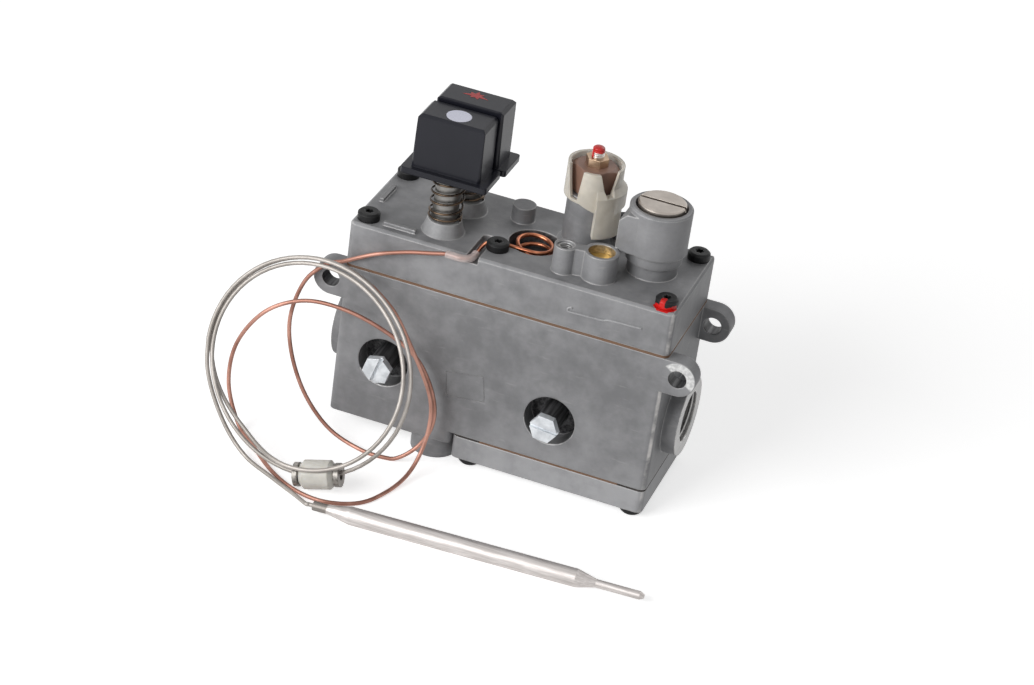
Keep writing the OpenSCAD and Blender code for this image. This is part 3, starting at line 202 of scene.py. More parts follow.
lead = [on_coil(t) + Vector((0, LEAD_DRIFT * (COPPER_TURN - t), 0)) for t in LEAD_TURNS]
copper_part = smooth(ROUTE + lead, SPLINE_STEPS)
plated_turns = LAST_TURN - COPPER_TURN
plated_part = [on_coil(COPPER_TURN + plated_turns * k / COIL_STEPS) for k in range(COIL_STEPS + 1)]
neck_part = [NECK - short * NECK_RUN for short in (3, 1.5, 0)]
tail_part = smooth([plated_part[-1]] + TAIL + neck_part, SPLINE_STEPS)[1:]
tube_line = in_scene(copper_part + plated_part + tail_part)
copper_length = run_length(in_scene(copper_part))

# %% [markdown]
# Materials and geometry are both trees of nodes. A tree is easier to read as a sum than as a list
# of links, so one small class wraps a socket. An operator on it adds a Math node, and one method
# adds any other node: its settings first, because they decide which sockets it has, and then the
# values or links of its sockets by name.

# %% A socket that can be used in sums
class Wire:
    def __init__(self, tree, socket=None):
        self.tree = tree
        self.socket = socket

    def node(self, kind, settings=None, values=None, give=0):
        made = self.tree.nodes.new(kind)
        for name, value in (settings or {}).items():
            setattr(made, name, value)
        for name, value in (values or {}).items():
            named = [s for s in made.inputs if s.enabled and s.name == name]
            socket = named[0] if named else made.inputs[name]
            for one in value if isinstance(value, list) else [value]:
                if isinstance(one, Wire):
                    self.tree.links.new(one.socket, socket)
                else:
                    socket.default_value = one
        shown = [s for s in made.outputs if s.enabled]
        if not shown:
            return self
        return Wire(self.tree, made.outputs[give] if isinstance(give, str) else shown[give])

    def maths(self, operation, *others):
        values = dict(enumerate((self,) + others))
        return self.node("ShaderNodeMath", {"operation": operation}, values)

    def __add__(self, other):
        return self.maths("ADD", other)

    def __sub__(self, other):
        return self.maths("SUBTRACT", other)

    def __rsub__(self, other):
        return self.maths("MULTIPLY_ADD", -1.0, other)

    def __mul__(self, other):
        return self.maths("MULTIPLY", other)

    def __truediv__(self, other):
        return self.maths("DIVIDE", other)

    def __rtruediv__(self, other):
        return self.maths("POWER", -1.0) * other

    def __lt__(self, other):
        return self.maths("LESS_THAN", other)

    def __gt__(self, other):
        return self.maths("GREATER_THAN", other)

    def __abs__(self):
        return self.maths("ABSOLUTE")

    __radd__ = __add__
    __rmul__ = __mul__

    def mix(self, first, second):
        """A colour between two others, this socket being the factor."""
        values = {"Factor": self, "A": first, "B": second}
        return self.node("ShaderNodeMix", {"data_type": "RGBA"}, values)


signs = [name for name, made in vars(Wire).items() if name[:2] == "__" and callable(made)]
print("a wire knows", len(signs) - 1, "signs")

# %% [markdown]
# A finish is a material for one kind of surface on the valve. Each is made by a recipe: a function
# that gets the tree and the place on the piece, and returns the sockets of one Principled shader.
# The helpers below are the words that the recipes use: a cloud of noise, a soft step between two
# values, the three axes of a place, the distance from an axis, a relief and a rounded edge.
# Places are Object coordinates. Every piece sits at the origin, so they are metres in the frame.

# %% Words for the recipes
def empty_tree(owner):
    """The tree of a material or of the world, cleared for new nodes."""
    owner.use_nodes = True
    owner.node_tree.nodes.clear()
    return Wire(owner.node_tree)


def make_finish(name, recipe):
    material = bpy.data.materials.new(name)
    wire = empty_tree(material)
    place = wire.node("ShaderNodeTexCoord", give="Object")
    shader = wire.node("ShaderNodeBsdfPrincipled", {}, recipe(wire, place))
    wire.node("ShaderNodeOutputMaterial", {}, {"Surface": shader})
    print("finish", name, "with", len(material.node_tree.nodes), "nodes")
    return material


def cloud(place, scale, detail=2.0, rough=0.5, stretch=None):
    if stretch:
        place = place.node("ShaderNodeMapping", {}, {"Vector": place, "Scale": stretch})
    values = {"Vector": place, "Scale": scale, "Detail": detail, "Roughness": rough}
    return place.node("ShaderNodeTexNoise", {}, values, "Fac")


def soft(value, low, high):
    values = {"Value": value, "From Min": low, "From Max": high}
    return value.node("ShaderNodeMapRange", {"interpolation_type": "SMOOTHSTEP"}, values)


def axes_of(place):
    split = place.node("ShaderNodeSeparateXYZ", {}, {"Vector": place}).socket.node
    return [Wire(place.tree, axis) for axis in split.outputs]


def away(u, v, u0, v0):
    """Distance from an axis that pierces the plane of u and v at one point."""
    du, dv = u - u0, v - v0
    return (du * du + dv * dv).maths("SQRT")


def off_axis(x, y, axis):
    """Distance from an upright axis that is given in millimetres on the deck."""
    return away(x, y, axis[0] * MM, (axis[1] + DECK_Y) * MM)


def relief(height, depth, normal=None):
    values = {"Height": height, "Distance": depth, "Strength": 1.0}
    if normal:
        values["Normal"] = normal
    return height.node("ShaderNodeBump", {}, values)


def round_edge(wire, radius):
    """The normal of a rounded edge."""
    return wire.node("ShaderNodeBevel", {"samples": 6}, {"Radius": radius})


def edge_normal_and_mask(wire, radius):
    """The normal of a rounded edge, and a mask that is 1 along that edge."""
    rounded = round_edge(wire, radius)
    straight = wire.node("ShaderNodeNewGeometry", give="Normal")
    values = {0: rounded, 1: straight}
    facing = wire.node("ShaderNodeVectorMath", {"operation": "DOT_PRODUCT"}, values, "Value")
    return rounded, soft(1 - facing, 0.004, 0.16)


print("recipe words ready")

# %% [markdown]
# The tube is annealed copper as far as the loose coil and nickel plated after it. Both lengths are
# one tube, so one finish changes along the way: the tree below stores how far along the line each
# ring lies, in metres, as the attribute "run", and the recipe compares it with the copper length.
# Copper shows a pink bloom with darker drawn streaks, the plating a grey one.

# %% Tube finish
COPPER = (0.56, 0.30, 0.235, 1)
COPPER_DARK = (0.29, 0.14, 0.105, 1)
PLATED = (0.47, 0.435, 0.405, 1)
PLATED_DARK = (0.32, 0.295, 0.27, 1)


def tube_recipe(wire, place):
    run = wire.node("ShaderNodeAttribute", {"attribute_name": "run"}, give="Fac")
    bloom = soft(cloud(place, 55, 4, 0.6), 0.36, 0.68)
    drawn = cloud(place, 700, 2, 0.5)
    plated = soft(run, copper_length - 0.001, copper_length + 0.001)
    copper = bloom.mix(COPPER_DARK, COPPER)
    nickel = bloom.mix(PLATED_DARK, PLATED)
    return {
        "Base Color": plated.mix(copper, nickel),
        "Metallic": 0.8 - 0.3 * plated,
        "Roughness": 0.4 + 0.14 * drawn,
        "Normal": relief(drawn, 0.00003),
    }


tube_finish = make_finish("drawn_tube", tube_recipe)

# %% [markdown]
# Geometry Nodes sweep a circle along any line of points. The same tree makes the long tube, the
# short coil in the deck and the soft sleeve, and later the mould ridges and the threads: only the
# line, the radius and the finish differ.
# The result is turned into a plain mesh, because a live modifier can't be blended or exported.

# %% A tree that sweeps a tube along a line
def named_tree(name, sockets, result):
    tree = bpy.data.node_groups.new(name, "GeometryNodeTree")
    for label, kind in sockets:
        tree.interface.new_socket(label, in_out="INPUT", socket_type="NodeSocket" + kind)
    tree.interface.new_socket(result, in_out="OUTPUT", socket_type="NodeSocketGeometry")
    wire = Wire(tree)
    given = {label: wire.node("NodeGroupInput", give=label) for label, _ in sockets}
    return tree, wire, given


def close_tree(wire, mesh, finish, result):
    """Every tree ends in plain geometry with its finish."""
    real = wire.node("GeometryNodeRealizeInstances", {}, {"Geometry": mesh})
    dressed = wire.node("GeometryNodeSetMaterial", {}, {"Geometry": real, "Material": finish})
    wire.node("NodeGroupOutput", {}, {result: dressed})


def swept(wire, line, radius, sides):
    values = {"Resolution": sides, "Radius": radius}
    ring = wire.node("GeometryNodeCurvePrimitiveCircle", {}, values)
    values = {"Curve": line, "Profile Curve": ring, "Fill Caps": True}
    tube = wire.node("GeometryNodeCurveToMesh", {}, values)
    return wire.node("GeometryNodeSetShadeSmooth", {}, {"Geometry": tube})


tube_tree, wire, given = named_tree(
    "tube_along_a_line",
    [("Line", "Geometry"), ("Tube Radius", "Float"), ("Sides", "Int"), ("Finish", "Material")],
    "Tube",
)
line = wire.node("GeometryNodeMeshToCurve", {}, {"Mesh": given["Line"]})
so_far = wire.node("GeometryNodeSplineParameter", give="Length")
line = wire.node(
    "GeometryNodeStoreNamedAttribute", {"data_type": "FLOAT", "domain": "POINT"},
    {"Geometry": line, "Name": "run", "Value": so_far},
)
tube = swept(wire, line, given["Tube Radius"], given["Sides"])
close_tree(wire, tube, given["Finish"], "Tube")
print("tree", tube_tree.name, "has", len(tube_tree.nodes), "nodes")

# %% Growing a tree on a line of points
def grown(name, points, tree, values):
    """A piece: the tree grown on a line of points, as a plain mesh at the origin."""
    mesh = bpy.data.meshes.new(name)
    mesh.from_pydata(points, [(k, k + 1) for k in range(len(points) - 1)], [])
    piece = linked(name, mesh)
    modifier = piece.modifiers.new("grow", "NODES")
    modifier.node_group = tree
    for item in tree.interface.items_tree:
        if item.in_out == "INPUT" and item.name in values:
            modifier[item.identifier] = values[item.name]
    graph = bpy.context.evaluated_depsgraph_get()
    plain = bpy.data.meshes.new_from_object(
        piece.evaluated_get(graph), preserve_all_data_layers=True, depsgraph=graph
    )
    piece.modifiers.clear()
    piece.data = plain
    plain.name = name
    print("piece", name, "with", len(plain.polygons), "faces")
    return piece


tube_size = {"Tube Radius": TUBE_R * MM, "Sides": 14, "Finish": tube_finish}
capillary = grown("capillary", tube_line, tube_tree, tube_size)
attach(capillary, "housing")
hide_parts("copper_capillary", "plated_capillary")

# %% [markdown]
# Inside the deck the same tube runs along a channel, makes two turns in a round pocket, the first
# of them raised on the left, and goes into its ferrule. Its copper is redder there.

# %% Coil in the deck
def deck_copper_recipe(wire, place):
    bloom = soft(cloud(place, 160, 3, 0.6), 0.35, 0.7)
    drawn = cloud(place, 900, 2)
    return {
        "Base Color": bloom.mix((0.31, 0.105, 0.055, 1), (0.66, 0.27, 0.15, 1)),
        "Metallic": 0.95,
        "Roughness": 0.24 + 0.14 * drawn,
        "Normal": relief(drawn, 0.00003),
    }


CHANNEL_Z = 83.9
DECK_RUN = [
    (-14, -20), (-14, -17.5), (-14, -14.5), (-13.2, -11), (-10.4, -9.1), (-6.5, -8.8), (-2.5, -8.8),
]
COIL_POCKET, COIL_END = (1.5, -2.6), (7.7, -0.6)
DECK_COIL_R, DECK_PITCH = 6.2, 2.15
DECK_LIFT, LIFT_START = 2, 0.25
DECK_TURNS, DECK_STEPS = 2.25, 48

deck_line = smooth([(x, y, CHANNEL_Z) for x, y in DECK_RUN], 6)
for k in range(int(DECK_TURNS * DECK_STEPS) + 1):
    turns = k / DECK_STEPS
    angle = math.tau * turns - math.pi / 2
    around = Vector((math.cos(angle), math.sin(angle), 0)) * DECK_COIL_R
    lift = DECK_LIFT * math.sin(math.pi * min(1, max(0, turns - LIFT_START))) ** 2
    deck_line.append(Vector((*COIL_POCKET, CHANNEL_Z - DECK_PITCH * turns + lift)) + around)
deck_line.append(Vector((*COIL_END, deck_line[-1].z)))
deck_copper = make_finish("deck_copper", deck_copper_recipe)
deck_size = dict(tube_size, Finish=deck_copper)
deck_coil = grown("deck_coil", in_scene(deck_line), tube_tree, deck_size)
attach(deck_coil, "housing")
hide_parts("deck_capillary")

# %% [markdown]
# A clear soft sleeve keeps the tube from rubbing in the notch. It is thin and slightly pink, and
# the copper shows through it, so it is a mostly transparent skin with a gloss of its own.

# %% Clear sleeve
def sleeve_recipe(wire, place):
    haze = cloud(place, 260, 3, 0.6)
    return {
        "Base Color": haze.mix((0.78, 0.62, 0.58, 1), (0.95, 0.88, 0.86, 1)),
        "Roughness": 0.18 + 0.2 * haze,
        "Alpha": 0.36 + 0.25 * haze,
        "Normal": relief(haze, 0.00006),
    }


BEND_X, BEND_Y, BEND_R, BEND_STEPS = -17.8, -22.6, 3.8, 12
SLEEVE_R, SLEEVE_Y = 1.35, -20.6

sleeve_line = [Vector((BEND_X + BEND_R, SLEEVE_Y - 0.5 * k, CHANNEL_Z)) for k in range(5)]
for k in range(1, BEND_STEPS + 1):
    angle = -math.pi / 2 * k / BEND_STEPS
    x, y = BEND_X + BEND_R * math.cos(angle), BEND_Y + BEND_R * math.sin(angle)
    sleeve_line.append(Vector((x, y, CHANNEL_Z)))
sleeve_line += [Vector((BEND_X - k, BEND_Y - BEND_R, CHANNEL_Z)) for k in range(1, 6)]
sleeve_finish = make_finish("clear_sleeve", sleeve_recipe)
sleeve_size = {"Tube Radius": SLEEVE_R * MM, "Sides": 20, "Finish": sleeve_finish}
sleeve = grown("clear_sleeve", in_scene(sleeve_line), tube_tree, sleeve_size)
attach(sleeve, "housing")
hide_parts("capillary_sleeve")

# %% [markdown]
# Five compression springs close the valves and lift the buttons. A spring follows a rule: close
# turns at both ends and an even open pitch between them. So one tree makes them all from named
# sizes. The height of a point is a sum of three ramps, one for each stretch of the wire.
# The regulator's spring stands on its valve, so there the two ends change places.

# %% A tree for a compression spring
TURN_STEPS = 28
CLOSE_GAP = 0.5
spring_tree, wire, given = named_tree(
    "compression_spring",
    [("Start", "Geometry"), ("Foot", "Vector"), ("Coil Radius", "Float"), ("Wire Radius", "Float"),
     ("Length", "Float"), ("Turns", "Float"), ("Close Turns", "Float"), ("Finish", "Material")],
    "Spring",
)
index = wire.node("GeometryNodeInputIndex")
turn_count, close, wire_r = given["Turns"], given["Close Turns"], given["Wire Radius"]
turns = index / TURN_STEPS
close_pitch = 2 * wire_r + CLOSE_GAP * MM
rise = given["Length"] - 2 * wire_r - 2 * (close * close_pitch)
open_pitch = rise / (turn_count - 2 * close)
end = turn_count - close
low_part = turns.maths("MINIMUM", close)
open_part = (turns.maths("MINIMUM", end) - close).maths("MAXIMUM", 0.0)
high_part = (turns - end).maths("MAXIMUM", 0.0)
height = wire_r + (low_part + high_part) * close_pitch + open_part * open_pitch
angle = turns * math.tau
spot_on = wire.node(
    "ShaderNodeCombineXYZ", {},
    {"X": given["Coil Radius"] * angle.maths("COSINE"),
     "Y": given["Coil Radius"] * angle.maths("SINE"), "Z": height},
)
count = turn_count * TURN_STEPS + 1
points = wire.node("GeometryNodeMeshLine", {"mode": "OFFSET"}, {"Count": count})
points = wire.node("GeometryNodeSetPosition", {}, {"Geometry": points, "Position": spot_on})
points = wire.node("GeometryNodeSetPosition", {}, {"Geometry": points, "Offset": given["Foot"]})
line = wire.node("GeometryNodeMeshToCurve", {}, {"Mesh": points})
close_tree(wire, swept(wire, line, wire_r, 12), given["Finish"], "Spring")
print("tree", spring_tree.name, "has", len(spring_tree.nodes), "nodes")

# %% [markdown]
# Oil has stained the wire of the two outer springs; the inner ones are clean. Such a finish needs
# only one noise: it mixes two tones and sets the roughness and the relief with them. Some later
# finishes are as plain, so they use the same recipe.

# %% Spring finishes
def speckled(tones, noise, rough, depth, metal=0.0, step=None, edge=None):
    def recipe(wire, place):
        speck = cloud(place, *noise)
        if step:
            speck = soft(speck, *step)
        return {
            "Base Color": speck.mix(*tones),
            "Metallic": metal,
            "Roughness": rough[0] + rough[1] * speck,
            "Normal": relief(speck, depth, edge and round_edge(wire, edge)),
        }
    return recipe


OILED = (0.036, 0.027, 0.021, 1), (0.130, 0.090, 0.060, 1)
CLEAN = (0.30, 0.30, 0.31, 1), (0.56, 0.56, 0.57, 1)
bronze = make_finish("oiled_spring_wire", speckled(
    OILED, noise=(240, 3, 0.6), rough=(0.22, 0.16), depth=0.00002, metal=0.95, step=(0.35, 0.7),
))
spring_steel = make_finish("bright_spring_wire", speckled(
    CLEAN, noise=(300, 3, 0.6), rough=(0.24, 0.16), depth=0.00002, metal=0.95, step=(0.3, 0.7),
))

# %% The five springs
OFF, IGNITION, SETTING, REGULATOR = (-29.6, -12), (-28.2, 7), (16.0, 8.6), (43, 1.7)
SPRING_TURNS = 6.0
# body, axis, low end, high end, coil radius, wire diameter, close turns, finish
SPRINGS = {
    "off_spring": ("off_control", OFF, 89.5, 106.5, 5.737, 0.8, 1.25, bronze),
    "ignition_spring": ("ignition_control", IGNITION, 89.5, 106.5, 5.737, 0.8, 1.25, bronze),
    "safety_spring": ("flame_safety", IGNITION, 25.2, 47.5, 8.1, 0.8, 1.0, spring_steel),
    "main_valve_spring": ("thermostat_valve", SETTING, 11.9, 37.5, 4.7, 0.8, 1.0, spring_steel),
    "regulator_spring": ("pressure_valve", REGULATOR, 70.7, 90.5, 6.4, 1.0, 1.0, spring_steel),
}
for node, (body, (x, y), low, high, coil_r, wire_d, close_n, finish) in SPRINGS.items():
    foot = Vector((x, y + DECK_Y, low)) * MM
    head = Vector((x, y + DECK_Y, high)) * MM
    sizes = {
        "Foot": foot, "Coil Radius": coil_r * MM, "Wire Radius": wire_d / 2 * MM,
        "Length": (high - low) * MM, "Turns": SPRING_TURNS, "Close Turns": close_n,
        "Finish": finish,
    }
    spring = grown("wound_" + node, [foot, head], spring_tree, sizes)
    if node == "regulator_spring":
        foot, head = head, foot
    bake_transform(spring)
    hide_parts(node)

# %% [markdown]
# The housing, the deck cover and the bottom cover are cast aluminium. Cast metal is a dull grey
# with soft flow clouds and a fine grain. Its edges are rounded and rubbed bright, partly as wear
# and partly as a painted highlight, and a painted highlight runs down the upright corners at the
# outlet.
# The faces that were machined shine: the port faces, an arc on one mounting ear and the rims of the
# test points, with a painted highlight on the lower rim of each pocket. The round pockets and the
# ear holes get painted shade, with streaks in it as painted reflections.
# The CAD already has each form, so the finish only has to know where a face was cut and where
# highlights and shade are painted. Each such face has a dim and a bright tone, the roughness it
# loses, and how metallic it is.

# %% Cast and machined metal
CAST_DARK = (0.185, 0.186, 0.192, 1)
CAST_PALE = (0.300, 0.300, 0.308, 1)
# worn metal tone, also used as a painted highlight on rubbed edges
RUBBED_AND_HIGHLIGHT = (0.60, 0.59, 0.58, 1)
# painted highlight along the upright corners at the outlet
PAINTED_CORNER_HIGHLIGHT = (0.74, 0.72, 0.70, 1)
TURNED_FACE = ((0.34, 0.34, 0.34, 1), (0.42, 0.41, 0.40, 1), 0.2, 0.9)
SKIMMED_FACE_AND_HIGHLIGHT = ((0.52, 0.52, 0.52, 1), (0.74, 0.74, 0.73, 1), 0.05, 0.3)
# painted shade inside the pockets and ear holes; its streaks are painted reflections
PAINTED_POCKET_SHADE = ((0.030, 0.030, 0.031, 1), (0.120, 0.120, 0.124, 1), 0.14, 0.3)
PLAIN_FACE = ((0.21, 0.21, 0.215, 1), (0.27, 0.27, 0.276, 1), 0.0, 0.0)
BRASS_LIT = ((0.30, 0.235, 0.15, 1), (0.50, 0.40, 0.26, 1), 0.15, 0.6)
LACQUER = (0.62, 0.012, 0.010, 1)
MIDDLE_Y = 0.0033
PORT_Z = 0.0325
FRONT_Y = -0.0208
DECK_TOP = 0.0847
TEST_POINTS = ((-0.0415, 0.0326), (0.022, 0.0294))
TEST_POCKET_R, RIM_R = 0.00935, 0.0092
NIPPLE_R, NIPPLE_FACE = 0.0047, -0.02435
EAR_X, EAR_Z = 0.0645, 0.0603
EAR_R, EAR_HOLE_R, EAR_FACE = 0.0064, 0.00335, -0.02085
CORNER_X, CORNER_Y = 0.0575, 0.0215
PORT_FACE, PORT_FACE_R = 0.0653, 0.0152
PORT_END, PORT_BORE_R = 0.053, 0.0095
BAR_X, BAR_TOP = -0.0378, 0.087
CONE_R = 0.0078
COIL_POCKET_R, COIL_POCKET_TOP = 0.0094, 0.0842
PILOT = (28.4, -13.3)
PILOT_BORE_R, PILOT_BORE_TOP = 0.00485, 0.0943
SEAL_X, SEAL_Y, SEAL_R = 0.0549, -0.0166, 0.0044


def lifted(colour, by):
    return tuple(by * v for v in colour[:3]) + (1,)


def any_of(*masks):
    together = masks[0]
    for mask in masks[1:]:
        together = together.maths("MAXIMUM", mask)
    return together


def upright_corner_highlight(wire, place):
    """A mask along the rounded upright corners at the outlet end of the block, for a painted
    highlight.
    """
    x, y, _ = axes_of(place)
    east, north, _ = axes_of(wire.node("ShaderNodeNewGeometry", give="Normal"))
    return soft(abs(east * north), 0.36, 0.5) * (x > CORNER_X) * (abs(y - MIDDLE_Y) > CORNER_Y)


def cast_recipe(lift, wear_and_highlight, machined=None, lacquer=None):
    def recipe(wire, place):
        rounded, edge = edge_normal_and_mask(wire, 0.0008)
        corner_highlight = upright_corner_highlight(wire, place)
        flow = cloud(place, 26, 6, 0.62)
        mottle = cloud(place, 140, 4, 0.6)
        grain = cloud(place, 1300, 3, 0.55)
        scuffs = soft(cloud(place, 90, 5, 0.65, (1, 1, 7)), 0.6, 0.72)
        shade = soft(0.65 * flow + 0.35 * mottle, 0.34, 0.66)
        colour = shade.mix(lifted(CAST_DARK, lift), lifted(CAST_PALE, lift))
        colour = (0.13 * scuffs).mix(colour, RUBBED_AND_HIGHLIGHT)
        # rubbed edges are brightened: partly wear, partly a painted highlight
        colour = (edge * (0.5 * wear_and_highlight + wear_and_highlight * mottle)).mix(colour, RUBBED_AND_HIGHLIGHT)
        # painted highlight along the upright corners at the outlet
        colour = (corner_highlight * soft(mottle, 0.3, 0.7)).mix(colour, PAINTED_CORNER_HIGHLIGHT)
        rough = 0.47 + 0.1 * shade - 0.1 * edge
        metal = 0.17 + 0.2 * edge
        normal = relief(0.7 * grain + 0.5 * mottle, 0.00009, rounded)
        if machined:
            lines = soft(cloud(place, 700, 3, 0.6, (1, 0.05, 1)), 0.36, 0.64)
            for face, (dim, bright, smoother, shine) in machined(place):
                colour = face.mix(colour, lines.mix(dim, bright))
                rough = rough - face * smoother
                metal = metal.maths("MAXIMUM", face * shine)
        if lacquer:
            paint = lacquer(place)
            colour = paint.mix(colour, LACQUER)
            metal = metal * (1 - paint)
            rough = rough - paint * 0.3
        return {
            "Base Color": colour, "Metallic": metal, "Roughness": rough, "Normal": normal,
            "Specular IOR Level": 0.2,
        }
    return recipe


def body_cuts(place):
    """Machined ports, a skimmed arc on one ear, painted shade in the holes and pockets, machined
    nipple rims and a painted highlight on the pockets' lower rims.
    """
    x, y, z = axes_of(place)
    left, right = [away(x, z, *point) for point in TEST_POINTS]
    r = left.maths("MINIMUM", right)
    # painted shade inside the ear holes and the test point pockets
    holes = (away(abs(x), z, EAR_X, EAR_Z) < EAR_HOLE_R) * (y > FRONT_Y)
    pockets = (r < TEST_POCKET_R) * any_of(y > FRONT_Y, r < NIPPLE_R) * (y < 0.01)
    # painted highlight on the lower rim of each pocket
    painted_rim_highlight = soft(0.0006 - abs(r - RIM_R), 0.0, 0.0003) * (z < 0.028) * (y < -0.0203)
    # machined nipple rims, plus the painted highlight on the lower pocket rims
    rims = any_of((r < NIPPLE_R) * (y < NIPPLE_FACE), 0.6 * painted_rim_highlight)
    port = away(y, z, MIDDLE_Y, PORT_Z)
    turned = (abs(x) > PORT_FACE) * (port < PORT_FACE_R)
    bored = (port < PORT_BORE_R) * (abs(x) > PORT_END)
    ear = soft(EAR_R - away(x, z, EAR_X, EAR_Z), 0.0, 0.0003) * (y < EAR_FACE)
    arc = ear * soft(z - 0.0606 + 0.7 * (x - EAR_X), 0.0, 0.0008)
    return [
        (turned + bored, TURNED_FACE), (arc, SKIMMED_FACE_AND_HIGHLIGHT), (any_of(pockets, holes), PAINTED_POCKET_SHADE),
        (rims, SKIMMED_FACE_AND_HIGHLIGHT),
    ]


def cover_cuts(place):
    """Dull bars, pale cones below the buttons, painted shade in the coil's pocket and the pilot's
    warm bore.
    """
    x, y, z = axes_of(place)
    bars = (x < BAR_X) * (z > DECK_TOP) * (z < BAR_TOP)
    cones = (off_axis(x, y, OFF) < CONE_R) + (off_axis(x, y, IGNITION) < CONE_R)
    # painted shade in the coil's pocket
    hole = (off_axis(x, y, COIL_POCKET) < COIL_POCKET_R) * (z < COIL_POCKET_TOP)
    pilot = (off_axis(x, y, PILOT) < PILOT_BORE_R) * (z < PILOT_BORE_TOP)
    return [
        (0.7 * bars, PLAIN_FACE), (0.15 * cones * (z > DECK_TOP), SKIMMED_FACE_AND_HIGHLIGHT),
        (0.8 * hole, PAINTED_POCKET_SHADE), (pilot, BRASS_LIT),
    ]


def seal_spot(place):
    """Red locking lacquer round the front of one screw, with a streak up its head."""
    x, y, z = axes_of(place)
    ragged = (cloud(place, 420, 3) - 0.5) * 0.003
    pool = soft(SEAL_R + 0.5 * ragged - away(x, y, SEAL_X, SEAL_Y), 0.0, 0.0003)
    front = soft(ragged - y + SEAL_Y, 0.0, 0.0002) * (z > 0.0841)
    low = soft(0.0857 + ragged - z, 0.0, 0.0002)
    streak = soft(0.0011 + 0.4 * ragged - abs(x - 0.0545), 0.0, 0.0002)
    return pool * front * any_of(low, streak)


cast_body = make_finish("cast_housing", cast_recipe(1.0, 0.3, body_cuts))
cast_cover = make_finish("cast_deck_cover", cast_recipe(1.05, 0.6, cover_cuts, seal_spot))
cast_bottom = make_finish("cast_bottom_cover", cast_recipe(1.3, 0.5))

# %% [markdown]
# The castings carry two marks of their mould: a low rib on the front of the cover and the faint
# outline of a die insert on the body. Each is a thin ridge along a path, so the tube tree sweeps
# it, and a ray from the front finds the face that it lies on.

# %% Ridges left by the mould
FAR_FRONT = -200


def ridge(name, node, places, radius, finish):
    """A thin ridge half sunk in the front of a CAD node, along (x, z) places in millimetres."""
    graph = bpy.context.evaluated_depsgraph_get()
    line = []
    for x, z in places:
        start = Vector((x, FAR_FRONT, z)) * MM
        line.append(nodes[node].ray_cast(start, Vector((0, 1, 0)), depsgraph=graph)[1])
    size = {"Tube Radius": radius * MM, "Sides": 10, "Finish": finish}
    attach(grown(name, line, tube_tree, size), "housing")


RIB = [
    (24.0, 76.1), (22.9, 75.9), (22.4, 75.1), (23.0, 74.3), (27.5, 74.4), (35.6, 74.7),
    (37.5, 75.4), (49.2, 75.8),
]
rib_line = smooth([(x, 0, z) for x, z in RIB], 6)
ridge("cover_rib", "top_cover", [(q.x, q.z) for q in rib_line], 0.42, cast_bottom)

LEAN = math.radians(8)
INSERT_X, INSERT_Z = -10.2, 33
HALF_WIDE, HALF_HIGH, ROUND = 6.5, 4.3, 0.6
outline = []
for u, v in ((-1, -1), (1, -1), (1, 1), (-1, 1)):
    for k in range(7):
        a = math.atan2(v, u) + math.radians(15 * (k - 3))
        across = HALF_WIDE * u + ROUND * math.cos(a)
        upward = HALF_HIGH * v + ROUND * math.sin(a)
        outline.append((
            INSERT_X + across * math.cos(LEAN) - upward * math.sin(LEAN),
            INSERT_Z + across * math.sin(LEAN) + upward * math.cos(LEAN),
        ))
ridge("insert_outline", "body", outline + outline[:1], 0.12, cast_body)

# %% [markdown]
# Between the castings lie two thin gaskets of brown fibre board. Only their edges show, as a warm
# line with a coarse cut grain. The lower one keeps that colour along the middle of the front only;
# to the left and right of that its edge gets painted shade.

# %% Fibre gaskets
def fibre_recipe(unshaded_span):
    def recipe(wire, place):
        x = axes_of(place)[0]
        strand = cloud(place, 420, 4, 0.7, (1, 1, 4))
        blot = soft(cloud(place, 70, 3), 0.35, 0.65)
        colour = strand.mix((0.105, 0.056, 0.033, 1), (0.25, 0.145, 0.09, 1))
        colour = (0.45 * blot).mix(colour, (0.17, 0.11, 0.075, 1))
        # outside this span the lower gasket's edge gets painted shade
        shown = soft(x, unshaded_span[0], unshaded_span[0] + 0.0006) * soft(unshaded_span[1] - x, 0.0, 0.0006)
        return {
            "Base Color": shown.mix((0.035, 0.03, 0.027, 1), colour),
            "Roughness": 0.75 + 0.15 * strand,
            "Normal": relief(strand, 0.00015),
        }
    return recipe


upper_fibre = make_finish("cover_gasket_fibre", fibre_recipe((-0.1, 0.1)))
lower_fibre = make_finish("bottom_gasket_fibre", fibre_recipe((-0.0025, 0.0502)))

# %% [markdown]
# The two buttons are moulded in black plastic with a satin spark-eroded skin. Their flat sides
# are rubbed glossy and mirror the white room, and their round edges stay black, so the gloss is a
# coat that is missing along the edges.

# %% Black buttons
def button_recipe(wire, place):
    rounded, edge = edge_normal_and_mask(wire, 0.0007)
    slow = cloud(place, 45, 3, 0.5)
    skin = cloud(place, 3200, 2, 0.5)
    return {
        "Base Color": slow.mix((0.006, 0.0065, 0.0105, 1), (0.010, 0.0105, 0.017, 1)),
        "Roughness": 0.4 + 0.12 * slow,
        "Coat Weight": 0.33 + 0.12 * slow - 0.33 * edge,
        "Coat Roughness": 0.2,
        "Normal": relief(skin, 0.000012, rounded),
        "Specular IOR Level": 0.1,
    }


black_plastic = make_finish("black_button_plastic", button_recipe)

# %% [markdown]
# The setting ring is off-white nylon. It is translucent: light spreads below its skin and what is
# behind a wall shows faintly, so it has some subsurface scatter and an alpha just below one. The
# square insert in it is brown moulded plastic, and the bush on the loose coil is a whiter nylon.

